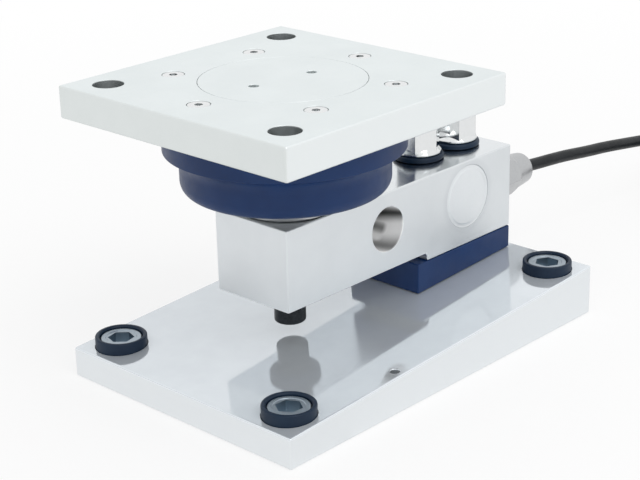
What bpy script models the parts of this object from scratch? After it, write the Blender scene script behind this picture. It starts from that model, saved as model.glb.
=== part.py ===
"""Load cell weighing module: a stainless shear beam on a sloped base plate, with a
self-aligning top plate that rides on a rocker pin. Units are metres, +Z is up, and
+X runs along the beam towards its cable. The origin is the centre of the base
plate's underside."""

import math

import bmesh
import bpy
import numpy as np
from mathutils import Matrix, Vector

for old in list(bpy.data.objects):
    bpy.data.objects.remove(old, do_unlink=True)

# Clearance between pieces that touch on the real module
GAP = 0.0003

# Base plate: its top falls towards the free end of the beam so that water runs off
BASE_LENGTH = 0.200
BASE_WIDTH = 0.130
BASE_LOW_END = 0.0135
BASE_HIGH_END = 0.0235
BASE_HOLE_INSET = 0.0145
GROUND_HOLE_R = 0.0021
GROUND_HOLE_TO_LOW_END = 0.0664
GROUND_HOLE_EDGE = 0.0045
GROUND_HOLE_DEPTH = 0.008
EDGE_BREAK = 0.0007

# Anchor screws in the base, each in a blue sealing cup sunk into the plate
ANCHOR_R = 0.006
ANCHOR_HEAD_R = 0.009
ANCHOR_HEAD_HEIGHT = 0.007
ANCHOR_SOCKET = 0.010
ANCHOR_SOCKET_DEPTH = 0.005
ANCHOR_CLEAR_OF_FLOOR = 0.0005
HOLE_RUN_OUT = 0.02
CUP_SEAL_R = 0.01125
CUP_SEAL_SUNK = 0.006
CUP_SEAL_FLOOR = 0.002
CUP_SEAL_PROUD = 0.0046

# Load cell beam: a pad at its fixed end, and a load bore at its free end
BEAM_END_INSET = 0.0045
BEAM_LENGTH = 0.150
BEAM_WIDTH = 0.042
BEAM_HEIGHT = 0.040
BEAM_SEAT = 0.0345
PAD_STEP = 0.0035
PAD_LENGTH = 0.0605
LOAD_TO_BEAM_END = 0.022
SENSING_HEIGHT = 0.0574
POCKET_TO_BEAM_END = 0.0874
POCKET_R = 0.010
POCKET_DEPTH = 0.0165
COVER_TO_BEAM_END = 0.0319
COVER_R = 0.0146
COVER_THICKNESS = 0.0017
COVER_WELD_WIDTH = 0.0022
COVER_WELD_DEPTH = 0.0003
WIRING_R = 0.012
WIRING_DEPTH = 0.009

# Spacer block between the sloped plate and the beam's pad
SPACER_OVERHANG = 0.0065

# Cell bolts: sealed hexagon heads through beam and spacer into the base plate
CELL_BOLT_R = 0.006
CELL_BOLT_TO_BEAM_END = 0.016
CELL_BOLT_SPACING = 0.026
CELL_BOLT_COLLAR_R = 0.0106
CELL_BOLT_COLLAR_HEIGHT = 0.0028
CELL_BOLT_ACROSS_FLATS = 0.018
CELL_BOLT_HEX_HEIGHT = 0.0095
CELL_BOLT_DOME = 0.0018
CELL_BOLT_CLEAR_OF_FLOOR = 0.005
CELL_SEAL_R = 0.01175
CELL_SEAL_THICKNESS = 0.0024

# Load bore: plug from below, hardened seat, and the checking collar screwed in on top
PLUG_R = 0.0069
PLUG_HANG = 0.0155
PLUG_CHAMFER = 0.0008
PLUG_SOCKET = 0.006
PLUG_SEAL_R = 0.01125
PLUG_SEAL_THICKNESS = 0.003
SEAT_BORE_R = 0.012
SEAT_THICKNESS = 0.005
SEAT_DEPTH = 0.0112
COLLAR_SPIGOT_R = 0.015
COLLAR_SPIGOT_LENGTH = 0.0055
COLLAR_BORE_R = 0.011
COLLAR_FLANGE_R = 0.0205
COLLAR_FLANGE_HEIGHT = 0.0042
COLLAR_LIP_R = 0.0205
COLLAR_HUB_R = 0.0145
COLLAR_LIP_HEIGHT = 0.005
COLLAR_HEIGHT = 0.0222

# Rocker pin between the two hardened seats, centred by an O-ring at each end
PIN_R = 0.008
PIN_DOME = 0.0006
O_RING_SECTION_R = 0.0017
O_RING_FROM_PIN_END = 0.0025

# Top plate with its screwed-in load cup
PLATE_SIDE = 0.130
PLATE_THICKNESS = 0.014
PLATE_CLEAR_HEIGHT = 0.0415
PLATE_HOLE_R = 0.0065
PLATE_HOLE_INSET = 0.0145
CUP_R = 0.035
CUP_HUB_R = 0.020
CUP_HUB_DROP = 0.013
CUP_ROOF = 0.002
SPANNER_HOLE_R = 0.0022
SPANNER_HOLE_DEPTH = 0.006
SPANNER_PITCH_R = 0.0152
SPANNER_TURN = math.radians(-7)

# Sideways and upward play of the top plate
SWAY = 0.0025
SWAY_CLEARANCE = 0.0038
LIFT = 0.002

# Checking ring on the load cup's hub, closed below by a split lift ring
CHECK_RING_WALL = 0.0052
CHECK_RING_WEB = 0.006
LIFT_RING_THICKNESS = 0.0037
LIFT_SCREW_R = 0.0015
LIFT_SCREW_HEAD_R = 0.0027
LIFT_SCREW_HEAD = 0.0018
LIFT_SCREW_LENGTH = 0.010

# Boot: one turned and stepped blue shell, screwed up against the top plate
BOOT_FLANGE_R = 0.0512
BOOT_FLANGE_DEPTH = 0.0141
BOOT_DRUM_R = 0.0445
BOOT_STEP_DROP = 0.0076
BOOT_DRUM_BOTTOM = 0.0271
BOOT_LIP_DROP = 0.0052
BOOT_LIP_R = 0.040
BOOT_MOUTH_R = 0.0365
BOOT_INNER_R = 0.0405
BOOT_LIP_RISE = 0.002

# Countersunk screws that hold the boot
BOOT_SCREW_R = 0.0025
BOOT_SCREW_HEAD_R = 0.0046
BOOT_SCREW_COUNT = 6
BOOT_SCREW_PITCH_R = 0.0471
BOOT_SCREW_LENGTH = 0.024
BOOT_SCREW_SOCKET = 0.0032
BOOT_SCREW_SOCKET_DEPTH = 0.0016

# Cable gland in the fixed end of the beam
GLAND_HEIGHT = 0.049
GLAND_THREAD_R = 0.0057
GLAND_THREAD_LENGTH = 0.008
GLAND_ACROSS_FLATS = 0.018
GLAND_HEX_LENGTH = 0.008
GLAND_NECK_R = 0.0062
GLAND_NECK_LENGTH = 0.012
GLAND_NUT_HEX_LENGTH = 0.017
GLAND_NUT_NOSE_LENGTH = 0.0115
GLAND_NUT_NOSE_R = 0.0075
GLAND_SEAL_R = 0.0049

# Cable, wound into a coil that lies beside the base
CABLE_R = 0.003
CABLE_POINT_SPACING = 0.014
COIL_FROM_BEAM_END = 0.2145
COIL_MIDDLE_R = 0.038
COIL_TURNS_WIDE = 3
COIL_TURNS_HIGH = 4
COIL_CORNER_R = 0.004
TAIL_LENGTH = 0.0405
TIE_THICKNESS = 0.001
TIE_WIDTH = 0.006

# Round connector on the cable's far end
CONNECTOR_NUT_R = 0.0073
CONNECTOR_NUT_LENGTH = 0.0135
CONNECTOR_BODY_R = 0.0065
CONNECTOR_BODY_LENGTH = 0.026
CONNECTOR_TAPER_LENGTH = 0.009
CONNECTOR_TAPER_R = 0.0043
CONNECTOR_INSERT_R = 0.0045
CONNECTOR_INSERT_LENGTH = 0.0165
CONNECTOR_PIN_R = 0.0006
CONNECTOR_PIN_COUNT = 4

# Heights and places that follow from the sizes above
beam_end = BASE_LENGTH / 2 - BEAM_END_INSET
beam_start = beam_end - BEAM_LENGTH
pad_start = beam_end - PAD_LENGTH
pocket_x = beam_end - POCKET_TO_BEAM_END
cover_x = beam_end - COVER_TO_BEAM_END
beam_top = BEAM_SEAT + BEAM_HEIGHT
beam_free_underside = BEAM_SEAT + PAD_STEP
load_x = beam_start + LOAD_TO_BEAM_END
plate_bottom = beam_top + PLATE_CLEAR_HEIGHT
plate_top = plate_bottom + PLATE_THICKNESS
lower_seat_top = beam_top - SEAT_DEPTH
pin_bottom = lower_seat_top + GAP
cup_roof = plate_bottom - CUP_ROOF
hub_bottom = plate_bottom - CUP_HUB_DROP
upper_seat_bottom = cup_roof - GAP - SEAT_THICKNESS
pin_top = upper_seat_bottom - GAP


def base_top(x):
    """Height of the base plate's sloped top at a place along X."""
    share = (x + BASE_LENGTH / 2) / BASE_LENGTH
    return BASE_LOW_END + share * (BASE_HIGH_END - BASE_LOW_END)


def finish(name, colour, roughness, metallic):
    """A Principled material with one colour."""
    made = bpy.data.materials.new(name)
    made.use_nodes = True
    shader = made.node_tree.nodes["Principled BSDF"]
    shader.inputs["Base Color"].default_value = (*colour, 1.0)
    shader.inputs["Roughness"].default_value = roughness
    shader.inputs["Metallic"].default_value = metallic
    return made


satin_steel = finish("satin_steel", (0.80, 0.81, 0.82), 0.38, 1.0)
polished_steel = finish("polished_steel", (0.82, 0.83, 0.84), 0.15, 1.0)
beam_steel = finish("beam_steel", (0.76, 0.77, 0.78), 0.32, 1.0)
bright_steel = finish("bright_steel", (0.78, 0.78, 0.78), 0.22, 1.0)
hard_steel = finish("hard_steel", (0.52, 0.52, 0.53), 0.25, 1.0)
black_steel = finish("black_steel", (0.03, 0.035, 0.04), 0.45, 0.6)
blue_plastic = finish("blue_plastic", (0.020, 0.045, 0.135), 0.42, 0.0)
blue_seal = finish("blue_seal", (0.012, 0.025, 0.065), 0.5, 0.0)
black_rubber = finish("black_rubber", (0.02, 0.02, 0.022), 0.7, 0.0)
cable_jacket = finish("cable_jacket", (0.02, 0.02, 0.025), 0.5, 0.0)
black_plastic = finish("black_plastic", (0.025, 0.025, 0.028), 0.45, 0.0)
gold_contact = finish("gold_contact", (0.80, 0.60, 0.25), 0.3, 1.0)


def empty(name, place):
    """A bare axis that moving pieces are parented to."""
    made = bpy.data.objects.new(name, None)
    bpy.context.collection.objects.link(made)
    made.location = place
    return made


def place_object(name, bm, material, place=(0, 0, 0), parent=None):
    """Turn a bmesh into an object. A parented piece gets its origin on the joint axis."""
    bmesh.ops.recalc_face_normals(bm, faces=bm.faces)
    mesh = bpy.data.meshes.new(name)
    bm.to_mesh(mesh)
    bm.free()
    mesh.shade_smooth()
    mesh.set_sharp_from_angle(angle=math.radians(32))
    made = bpy.data.objects.new(name, mesh)
    bpy.context.collection.objects.link(made)
    mesh.materials.append(material)
    made.location = place
    if parent is not None:
        made.parent = parent
        made.location = (0, 0, 0)
        mesh.transform(Matrix.Translation(Vector(place) - parent.location))
    return made


def boolean(target, bm, name, place=(0, 0, 0), operation="DIFFERENCE"):
    """Cut the target with, or join it to, the solids in a bmesh."""
    tool = place_object(name, bm, satin_steel, place, target.parent)
    tool.hide_render = True
    tool.display_type = "WIRE"
    step = target.modifiers.new(name, "BOOLEAN")
    step.object = tool
    step.operation = operation
    step.solver = "EXACT"


def break_edges(target, width):
    """A small rounded edge all round a sharp block."""
    step = target.modifiers.new("edge_break", "BEVEL")
    step.width = width
    step.segments = 2
    step.limit_method = "ANGLE"


def along(axis, place=(0, 0, 0)):
    """Matrix that lays a turned or extruded piece's Z on the given axis."""
    turn_to = Vector((0, 0, 1)).rotation_difference(Vector(axis)).to_matrix().to_4x4()
    return Matrix.Translation(place) @ turn_to


def turned(bm, profile, steps=32, place=None):
    """Spin a profile of (radius, height) points round Z, then put it in place."""
    before = set(bm.verts)
    verts = [bm.verts.new((r, 0, z)) for r, z in profile]
    edges = [bm.edges.new(pair) for pair in zip(verts, verts[1:])]
    on_axis = profile[0][0] == 0 and profile[-1][0] == 0
    if not on_axis:
        edges.append(bm.edges.new((verts[-1], verts[0])))
    bmesh.ops.spin(bm, geom=verts + edges, cent=(0, 0, 0), axis=(0, 0, 1), dvec=(0, 0, 0),
                   angle=math.tau, steps=steps, use_merge=True)
    fresh = [v for v in bm.verts if v not in before]
    bmesh.ops.remove_doubles(bm, verts=fresh, dist=1e-6)
    if place is not None:
        fresh = [v for v in bm.verts if v not in before]
        bmesh.ops.transform(bm, matrix=place, verts=fresh)
    return bm


def drilled(bm, radius, start, end, steps=32, place=None):
    """A plain round rod from one height to another, used for pins and as a drill."""
    return turned(bm, [(0, start), (radius, start), (radius, end), (0, end)], steps, place)


def prism(bm, outline, start, end, place=None):
    """Extrude a flat outline of (x, y) points from one height to another."""
    before = set(bm.verts)
    face = bm.faces.new([bm.verts.new((x, y, start)) for x, y in outline])
    grown = bmesh.ops.extrude_face_region(bm, geom=[face])
    lifted = [item for item in grown["geom"] if isinstance(item, bmesh.types.BMVert)]
    bmesh.ops.translate(bm, verts=lifted, vec=(0, 0, end - start))
    if place is not None:
        fresh = [v for v in bm.verts if v not in before]
        bmesh.ops.transform(bm, matrix=place, verts=fresh)
    return bm


def hexagon(across_flats, turn=0.0):
    """Corner points of a hexagon, flat sides facing X when it isn't turned."""
    corner_r = across_flats / math.sqrt(3)
    angles = [turn + math.radians(30 + 60 * k) for k in range(6)]
    return [(corner_r * math.cos(a), corner_r * math.sin(a)) for a in angles]


def rectangle(x0, x1, y0, y1):
    """Corner points of an upright rectangle."""
    return [(x0, y0), (x1, y0), (x1, y1), (x0, y1)]


def arc(centre_r, centre_z, radius, start_deg, end_deg, count):
    """Profile points on a round corner, as (radius, height) pairs."""
    angles = np.radians(np.linspace(start_deg, end_deg, count))
    return [(centre_r + radius * math.cos(a), centre_z + radius * math.sin(a)) for a in angles]


def new():
    return bmesh.new()


# Base plate with its sloped top, cut from one thick plate
bm = new()
half_length = BASE_LENGTH / 2
side_view = [(-half_length, 0), (half_length, 0),
             (half_length, BASE_HIGH_END), (-half_length, BASE_LOW_END)]
prism(bm, side_view, -BASE_WIDTH / 2, BASE_WIDTH / 2, Matrix.Rotation(math.radians(90), 4, "X"))
base_plate = place_object("base_plate", bm, polished_steel)
break_edges(base_plate, EDGE_BREAK)

anchor_x = half_length - BASE_HOLE_INSET
anchor_y = BASE_WIDTH / 2 - BASE_HOLE_INSET
anchor_places = [(-anchor_x, -anchor_y), (-anchor_x, anchor_y),
                 (anchor_x, -anchor_y), (anchor_x, anchor_y)]
last_bolt_x = beam_end - CELL_BOLT_TO_BEAM_END
cell_bolt_places = [last_bolt_x - CELL_BOLT_SPACING, last_bolt_x]
run_out = BASE_HIGH_END + HOLE_RUN_OUT
bm = new()
for x, y in anchor_places:
    floor = base_top(x) - CUP_SEAL_SUNK
    hole_r = ANCHOR_R + GAP
    pocket_r = CUP_SEAL_R + GAP
    steps_down = [(0, -HOLE_RUN_OUT), (hole_r, -HOLE_RUN_OUT), (hole_r, floor),
                  (pocket_r, floor), (pocket_r, run_out), (0, run_out)]
    turned(bm, steps_down, 22, Matrix.Translation((x, y, 0)))
for x in cell_bolt_places:
    blind_end = CELL_BOLT_CLEAR_OF_FLOOR - 0.001
    drilled(bm, CELL_BOLT_R + GAP, blind_end, run_out, 16, Matrix.Translation((x, 0, 0)))
ground_y = GROUND_HOLE_EDGE - BASE_WIDTH / 2
ground_x = GROUND_HOLE_TO_LOW_END - half_length
ground_floor = base_top(ground_x) - GROUND_HOLE_DEPTH
drilled(bm, GROUND_HOLE_R, ground_floor, run_out, 12, Matrix.Translation((ground_x, ground_y, 0)))
boolean(base_plate, bm, "base_holes")


def sealing_cup(name, x, y):
    """Blue cup washer: a floor under the screw head and a wall round it."""
    floor = base_top(x) - CUP_SEAL_SUNK + GAP
    rim = base_top(x) + CUP_SEAL_PROUD
    inner_r = ANCHOR_HEAD_R + GAP
    round_r = (CUP_SEAL_R - inner_r) / 2
    profile = [(ANCHOR_R + GAP, floor), (CUP_SEAL_R, floor)]
    profile += arc(CUP_SEAL_R - round_r, rim - round_r, round_r, 15, 165, 3)
    profile += [(inner_r, floor + CUP_SEAL_FLOOR), (ANCHOR_R + GAP, floor + CUP_SEAL_FLOOR)]
    place_object(name, turned(new(), profile, 18), blue_seal, (x, y, 0))


def anchor_screw(name, x, y):
    """Low socket head screw, cut short just above the underside of the plate."""
    seat = base_top(x) - CUP_SEAL_SUNK + CUP_SEAL_FLOOR + 2 * GAP
    top = seat + ANCHOR_HEAD_HEIGHT
    edge = 0.0006
    profile = [(0, ANCHOR_CLEAR_OF_FLOOR), (ANCHOR_R, ANCHOR_CLEAR_OF_FLOOR), (ANCHOR_R, seat),
               (ANCHOR_HEAD_R, seat), (ANCHOR_HEAD_R, top - edge),
               (ANCHOR_HEAD_R - edge, top), (0, top)]
    screw = place_object(name, turned(new(), profile, 16), bright_steel, (x, y, 0))
    corners = hexagon(ANCHOR_SOCKET, math.radians(10))
    socket = prism(new(), corners, top - ANCHOR_SOCKET_DEPTH, top + 0.005)
    boolean(screw, socket, name + "_socket", (x, y, 0))


for number, (x, y) in enumerate(anchor_places, 1):
    sealing_cup(f"base_seal_{number}", x, y)
    anchor_screw(f"base_screw_{number}", x, y)

# Spacer block: a blue wedge that levels the beam on the sloped plate
spacer_start = pad_start - SPACER_OVERHANG
spacer_top = BEAM_SEAT - GAP
side_view = [(spacer_start, base_top(spacer_start) + GAP), (beam_end, base_top(beam_end) + GAP),
             (beam_end, spacer_top), (spacer_start, spacer_top)]
bm = prism(new(), side_view, -BEAM_WIDTH / 2, BEAM_WIDTH / 2, Matrix.Rotation(math.radians(90), 4, "X"))
spacer_block = place_object("spacer_block", bm, blue_plastic)
break_edges(spacer_block, EDGE_BREAK)
bm = new()
for x in cell_bolt_places:
    drilled(bm, CELL_BOLT_R + GAP, 0, spacer_top + 0.01, 16, Matrix.Translation((x, 0, 0)))
boolean(spacer_block, bm, "spacer_holes")

# Load cell beam: bar with a pad step, two gauge pockets, two wiring pockets and its bores
pad_fillet = 0.0012
side_view = [(beam_start, beam_free_underside), (pad_start - pad_fillet, beam_free_underside),
             (pad_start, beam_free_underside - pad_fillet), (pad_start, BEAM_SEAT),
             (beam_end, BEAM_SEAT), (beam_end, beam_top), (beam_start, beam_top)]
bm = prism(new(), side_view, -BEAM_WIDTH / 2, BEAM_WIDTH / 2, Matrix.Rotation(math.radians(90), 4, "X"))
load_cell_beam = place_object("load_cell_beam", bm, beam_steel)
break_edges(load_cell_beam, EDGE_BREAK)

side = BEAM_WIDTH / 2
bm = new()
for facing in (-1, 1):
    pocket_end = side - POCKET_DEPTH
    pocket_floor = [(0, pocket_end), (POCKET_R - 0.0015, pocket_end), (POCKET_R, pocket_end + 0.0015)]
    pocket = pocket_floor + [(POCKET_R, side + 0.01), (0, side + 0.01)]
    turned(bm, pocket, 20, along((0, facing, 0), (pocket_x, 0, SENSING_HEIGHT)))
    recess_r = COVER_R + GAP
    recess_floor = side - COVER_THICKNESS - GAP
    wiring_floor = side - WIRING_DEPTH
    recess = [(0, wiring_floor), (WIRING_R, wiring_floor), (WIRING_R, recess_floor),
              (recess_r, recess_floor), (recess_r, side + 0.01), (0, side + 0.01)]
    turned(bm, recess, 24, along((0, facing, 0), (cover_x, 0, SENSING_HEIGHT)))
boolean(load_cell_beam, bm, "beam_side_pockets")

seat_floor = lower_seat_top - SEAT_THICKNESS - GAP
spigot_floor = beam_top - COLLAR_SPIGOT_LENGTH - GAP
plug_hole_r = PLUG_R + GAP
load_bore = [(0, 0), (plug_hole_r, 0), (plug_hole_r, seat_floor), (SEAT_BORE_R, seat_floor),
             (SEAT_BORE_R, spigot_floor), (COLLAR_SPIGOT_R + GAP, spigot_floor),
             (COLLAR_SPIGOT_R + GAP, beam_top + 0.01), (0, beam_top + 0.01)]
bm = turned(new(), load_bore, 22, Matrix.Translation((load_x, 0, 0)))
for x in cell_bolt_places:
    drilled(bm, CELL_BOLT_R + GAP, 0, beam_top + 0.01, 16, Matrix.Translation((x, 0, 0)))
gland_axis = along((1, 0, 0), (beam_end, 0, GLAND_HEIGHT))
drilled(bm, GLAND_THREAD_R + GAP, -GLAND_THREAD_LENGTH - GAP, 0.01, 16, gland_axis)
boolean(load_cell_beam, bm, "beam_bores")


def gauge_cover(name, facing):
    """Welded disc over a wiring pocket, with the weld as a shallow ring."""
    outer = side - 0.00005
    inner = side - COVER_THICKNESS
    weld_r = COVER_R - COVER_WELD_WIDTH
    weld = outer - COVER_WELD_DEPTH
    profile = [(0, inner), (COVER_R, inner), (COVER_R, weld),
               (weld_r + 0.0004, weld), (weld_r, outer), (0, outer)]
    bm = turned(new(), profile, 24, along((0, facing, 0)))
    place_object(name, bm, beam_steel, (cover_x, 0, SENSING_HEIGHT))


gauge_cover("gauge_cover_near", -1)
gauge_cover("gauge_cover_far", 1)


def cell_seal(name, x):
    """Blue sealing washer with its outer edge broken."""
    low = beam_top + GAP
    half = CELL_SEAL_THICKNESS / 2
    edge = half * 0.7
    profile = [(CELL_BOLT_R + GAP, low), (CELL_SEAL_R - edge, low), (CELL_SEAL_R, low + edge),
               (CELL_SEAL_R, low + 2 * half - edge), (CELL_SEAL_R - edge, low + 2 * half),
               (CELL_BOLT_R + GAP, low + 2 * half)]
    place_object(name, turned(new(), profile, 18), blue_seal, (x, 0, 0))


def cell_bolt(name, x, turn):
    """Collared bolt with a tall domed hexagon head."""
    seat = beam_top + CELL_SEAL_THICKNESS + 2 * GAP
    collar_top = seat + CELL_BOLT_COLLAR_HEIGHT
    hex_top = collar_top + CELL_BOLT_HEX_HEIGHT
    flat_r = CELL_BOLT_ACROSS_FLATS / 2
    tip = CELL_BOLT_CLEAR_OF_FLOOR
    profile = [(0, tip), (CELL_BOLT_R, tip), (CELL_BOLT_R, seat),
               (CELL_BOLT_COLLAR_R, seat), (CELL_BOLT_COLLAR_R, seat + 0.0008)]
    profile += [(flat_r + 0.0006, seat + 0.0018), (flat_r - 0.0002, collar_top),
                (flat_r - 0.0002, hex_top), (flat_r - 0.0012, hex_top + 0.6 * CELL_BOLT_DOME),
                (flat_r - 0.0040, hex_top + CELL_BOLT_DOME), (0, hex_top + CELL_BOLT_DOME)]
    bolt = place_object(name, turned(new(), profile, 18), bright_steel, (x, 0, 0))
    hexagonal = prism(new(), hexagon(CELL_BOLT_ACROSS_FLATS, turn), seat + 0.0012, hex_top)
    boolean(bolt, hexagonal, name + "_hexagon", (x, 0, 0), "UNION")


for number, (x, turn) in enumerate(zip(cell_bolt_places, (math.radians(2), math.radians(22))), 1):
    cell_seal(f"cell_seal_{number}", x)
    cell_bolt(f"cell_bolt_{number}", x, turn)

# Cable gland: body screwed into the beam, rubber seal and clamping nut
hex_start = GAP
hex_end = hex_start + GLAND_HEX_LENGTH
neck_end = hex_end + GLAND_NECK_LENGTH
nut_start = hex_end + GAP
nut_hex_end = nut_start + GLAND_NUT_HEX_LENGTH
nut_end = nut_hex_end + GLAND_NUT_NOSE_LENGTH
cable_hole_r = CABLE_R + 2 * GAP
seal_hole_r = GLAND_SEAL_R + GAP
seal_start = hex_end + 0.004
gland_place = (beam_end, 0, GLAND_HEIGHT)
lay_x = along((1, 0, 0))

profile = [(0, -GLAND_THREAD_LENGTH), (GLAND_THREAD_R, -GLAND_THREAD_LENGTH),
           (GLAND_THREAD_R, hex_start + 0.001), (GLAND_NECK_R, hex_start + 0.001),
           (GLAND_NECK_R, neck_end), (0, neck_end)]
gland_body = place_object("gland_body", turned(new(), profile, 16, lay_x), bright_steel, gland_place)
bm = prism(new(), hexagon(GLAND_ACROSS_FLATS), hex_start, hex_end, lay_x)
boolean(gland_body, bm, "gland_body_hexagon", gland_place, "UNION")
profile = [(0, -0.03), (cable_hole_r, -0.03), (cable_hole_r, seal_start), (seal_hole_r, seal_start),
           (seal_hole_r, neck_end + 0.01), (0, neck_end + 0.01)]
boolean(gland_body, turned(new(), profile, 16, lay_x), "gland_body_bore", gland_place)

nut_flat_r = GLAND_ACROSS_FLATS / 2
profile = [(0, nut_hex_end - 0.002), (nut_flat_r - 0.0002, nut_hex_end - 0.002),
           (nut_flat_r - 0.0002, nut_hex_end)]
profile += [(nut_flat_r - 0.0008, nut_hex_end + 0.35 * GLAND_NUT_NOSE_LENGTH),
            (GLAND_NUT_NOSE_R, nut_end - 0.0008), (GLAND_NUT_NOSE_R - 0.0008, nut_end), (0, nut_end)]
gland_nut = place_object("gland_nut", turned(new(), profile, 18, lay_x), bright_steel, gland_place)
bm = prism(new(), hexagon(GLAND_ACROSS_FLATS, math.radians(18)), nut_start, nut_hex_end, lay_x)
boolean(gland_nut, bm, "gland_nut_hexagon", gland_place, "UNION")
neck_hole_r = GLAND_NECK_R + GAP
seal_end = nut_end - 0.003
profile = [(0, nut_start - 0.01), (neck_hole_r, nut_start - 0.01), (neck_hole_r, neck_end + GAP),
           (seal_hole_r, neck_end + GAP), (seal_hole_r, seal_end + GAP), (cable_hole_r, seal_end + GAP),
           (cable_hole_r, nut_end + 0.01), (0, nut_end + 0.01)]
boolean(gland_nut, turned(new(), profile, 16, lay_x), "gland_nut_bore", gland_place)

profile = [(cable_hole_r, seal_start + GAP), (GLAND_SEAL_R, seal_start + GAP),
           (GLAND_SEAL_R, seal_end), (cable_hole_r, seal_end)]
place_object("gland_seal", turned(new(), profile, 16, lay_x), black_rubber, gland_place)

# Plug that closes the load bore from below, with its blue sealing ring
load_place = (load_x, 0, 0)
plug_bottom = beam_free_underside - PLUG_HANG
plug_top = seat_floor - GAP
profile = [(0, plug_bottom), (PLUG_R - PLUG_CHAMFER, plug_bottom), (PLUG_R, plug_bottom + PLUG_CHAMFER),
           (PLUG_R, plug_top), (0, plug_top)]
bore_plug = place_object("bore_plug", turned(new(), profile, 20), black_steel, load_place)
bm = prism(new(), hexagon(PLUG_SOCKET), plug_bottom - 0.01, plug_bottom + PLUG_SOCKET)
boolean(bore_plug, bm, "bore_plug_socket", load_place)

seal_top = beam_free_underside - GAP
seal_bottom = seal_top - PLUG_SEAL_THICKNESS
edge = PLUG_SEAL_THICKNESS / 3
profile = [(PLUG_R + GAP, seal_bottom), (PLUG_SEAL_R - edge, seal_bottom), (PLUG_SEAL_R, seal_bottom + edge),
           (PLUG_SEAL_R, seal_top - edge), (PLUG_SEAL_R - edge, seal_top), (PLUG_R + GAP, seal_top)]
place_object("plug_seal", turned(new(), profile, 18), blue_seal, load_place)


def bearing_seat(name, low, parent):
    """Hardened disc that one end of the rocker pin rolls on."""
    high = low + SEAT_THICKNESS
    radius = SEAT_BORE_R - GAP
    edge = 0.0005
    profile = [(0, low), (radius - edge, low), (radius, low + edge),
               (radius, high - edge), (radius - edge, high), (0, high)]
    place_object(name, turned(new(), profile, 16), hard_steel, load_place, parent)


bearing_seat("lower_bearing", lower_seat_top - SEAT_THICKNESS, None)

# Checking collar: screwed into the top of the load bore, with a lip that stops lifting
collar_base = beam_top + GAP
collar_top = collar_base + COLLAR_HEIGHT
lip_bottom = collar_top - COLLAR_LIP_HEIGHT
spigot_end = beam_top - COLLAR_SPIGOT_LENGTH
flange_top = collar_base + COLLAR_FLANGE_HEIGHT
profile = [(COLLAR_BORE_R, spigot_end), (COLLAR_SPIGOT_R, spigot_end),
           (COLLAR_SPIGOT_R, collar_base), (COLLAR_FLANGE_R, collar_base),
           (COLLAR_FLANGE_R, flange_top), (COLLAR_HUB_R, flange_top),
           (COLLAR_HUB_R, lip_bottom), (COLLAR_LIP_R, lip_bottom),
           (COLLAR_LIP_R, collar_top), (COLLAR_BORE_R, collar_top)]
place_object("check_collar", turned(new(), profile, 24), bright_steel, load_place)

# Rocker pin and its O-rings: these tilt about the pin's two rounded ends
low_axis = empty("pin_low_axis", (load_x, 0, pin_bottom))
high_axis = empty("pin_high_axis", (load_x, 0, pin_top))
profile = [(0, pin_bottom), (PIN_R * 0.5, pin_bottom + PIN_DOME * 0.25),
           (PIN_R - 0.0004, pin_bottom + PIN_DOME), (PIN_R, pin_bottom + PIN_DOME + 0.0004),
           (PIN_R, pin_top - PIN_DOME - 0.0004), (PIN_R - 0.0004, pin_top - PIN_DOME),
           (PIN_R * 0.5, pin_top - PIN_DOME * 0.25), (0, pin_top)]
place_object("rocker_pin", turned(new(), profile, 16), hard_steel, load_place, low_axis)


def o_ring(name, middle, parent):
    """Rubber ring that fills the space between the pin and its bore."""
    ring_r = PIN_R + GAP + O_RING_SECTION_R
    size = O_RING_SECTION_R
    angles = np.linspace(0, math.tau, 6, endpoint=False)
    profile = [(ring_r + size * math.cos(a), middle + size * math.sin(a)) for a in angles]
    place_object(name, turned(new(), profile, 16), black_rubber, load_place, parent)


o_ring("lower_o_ring", pin_bottom + O_RING_FROM_PIN_END, low_axis)
o_ring("upper_o_ring", pin_top - O_RING_FROM_PIN_END, high_axis)
bearing_seat("upper_bearing", upper_seat_bottom, high_axis)

# Top plate with four bolt holes, the seat for the load cup and the boot's screw holes
platform_axis = empty("platform_axis", (load_x, 0, plate_bottom))
half_side = PLATE_SIDE / 2
hole_reach = half_side - PLATE_HOLE_INSET
bm = prism(new(), rectangle(-half_side, half_side, -half_side, half_side), plate_bottom, plate_top)
top_plate = place_object("top_plate", bm, satin_steel, load_place, platform_axis)
break_edges(top_plate, EDGE_BREAK)
through = (plate_bottom - 0.01, plate_top + 0.01)
bm = drilled(new(), CUP_R + GAP, *through, 40)
for sx in (-1, 1):
    for sy in (-1, 1):
        corner = Matrix.Translation((sx * hole_reach, sy * hole_reach, 0))
        drilled(bm, PLATE_HOLE_R, *through, 20, corner)
boot_screw_angles = [math.tau * k / BOOT_SCREW_COUNT for k in range(BOOT_SCREW_COUNT)]
boot_screw_places = [(BOOT_SCREW_PITCH_R * math.cos(a), BOOT_SCREW_PITCH_R * math.sin(a))
                     for a in boot_screw_angles]
screw_hole_r = BOOT_SCREW_R + GAP
head_hole_r = BOOT_SCREW_HEAD_R + GAP
rim_drop = 0.0007
cone_low = plate_top - rim_drop - (head_hole_r - screw_hole_r)
countersink = [(0, plate_bottom - 0.01), (screw_hole_r, plate_bottom - 0.01), (screw_hole_r, cone_low),
               (head_hole_r, plate_top - rim_drop), (head_hole_r, plate_top + 0.01), (0, plate_top + 0.01)]
for x, y in boot_screw_places:
    turned(bm, countersink, 14, Matrix.Translation((x, y, 0)))
boolean(top_plate, bm, "top_plate_holes", load_place)

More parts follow.
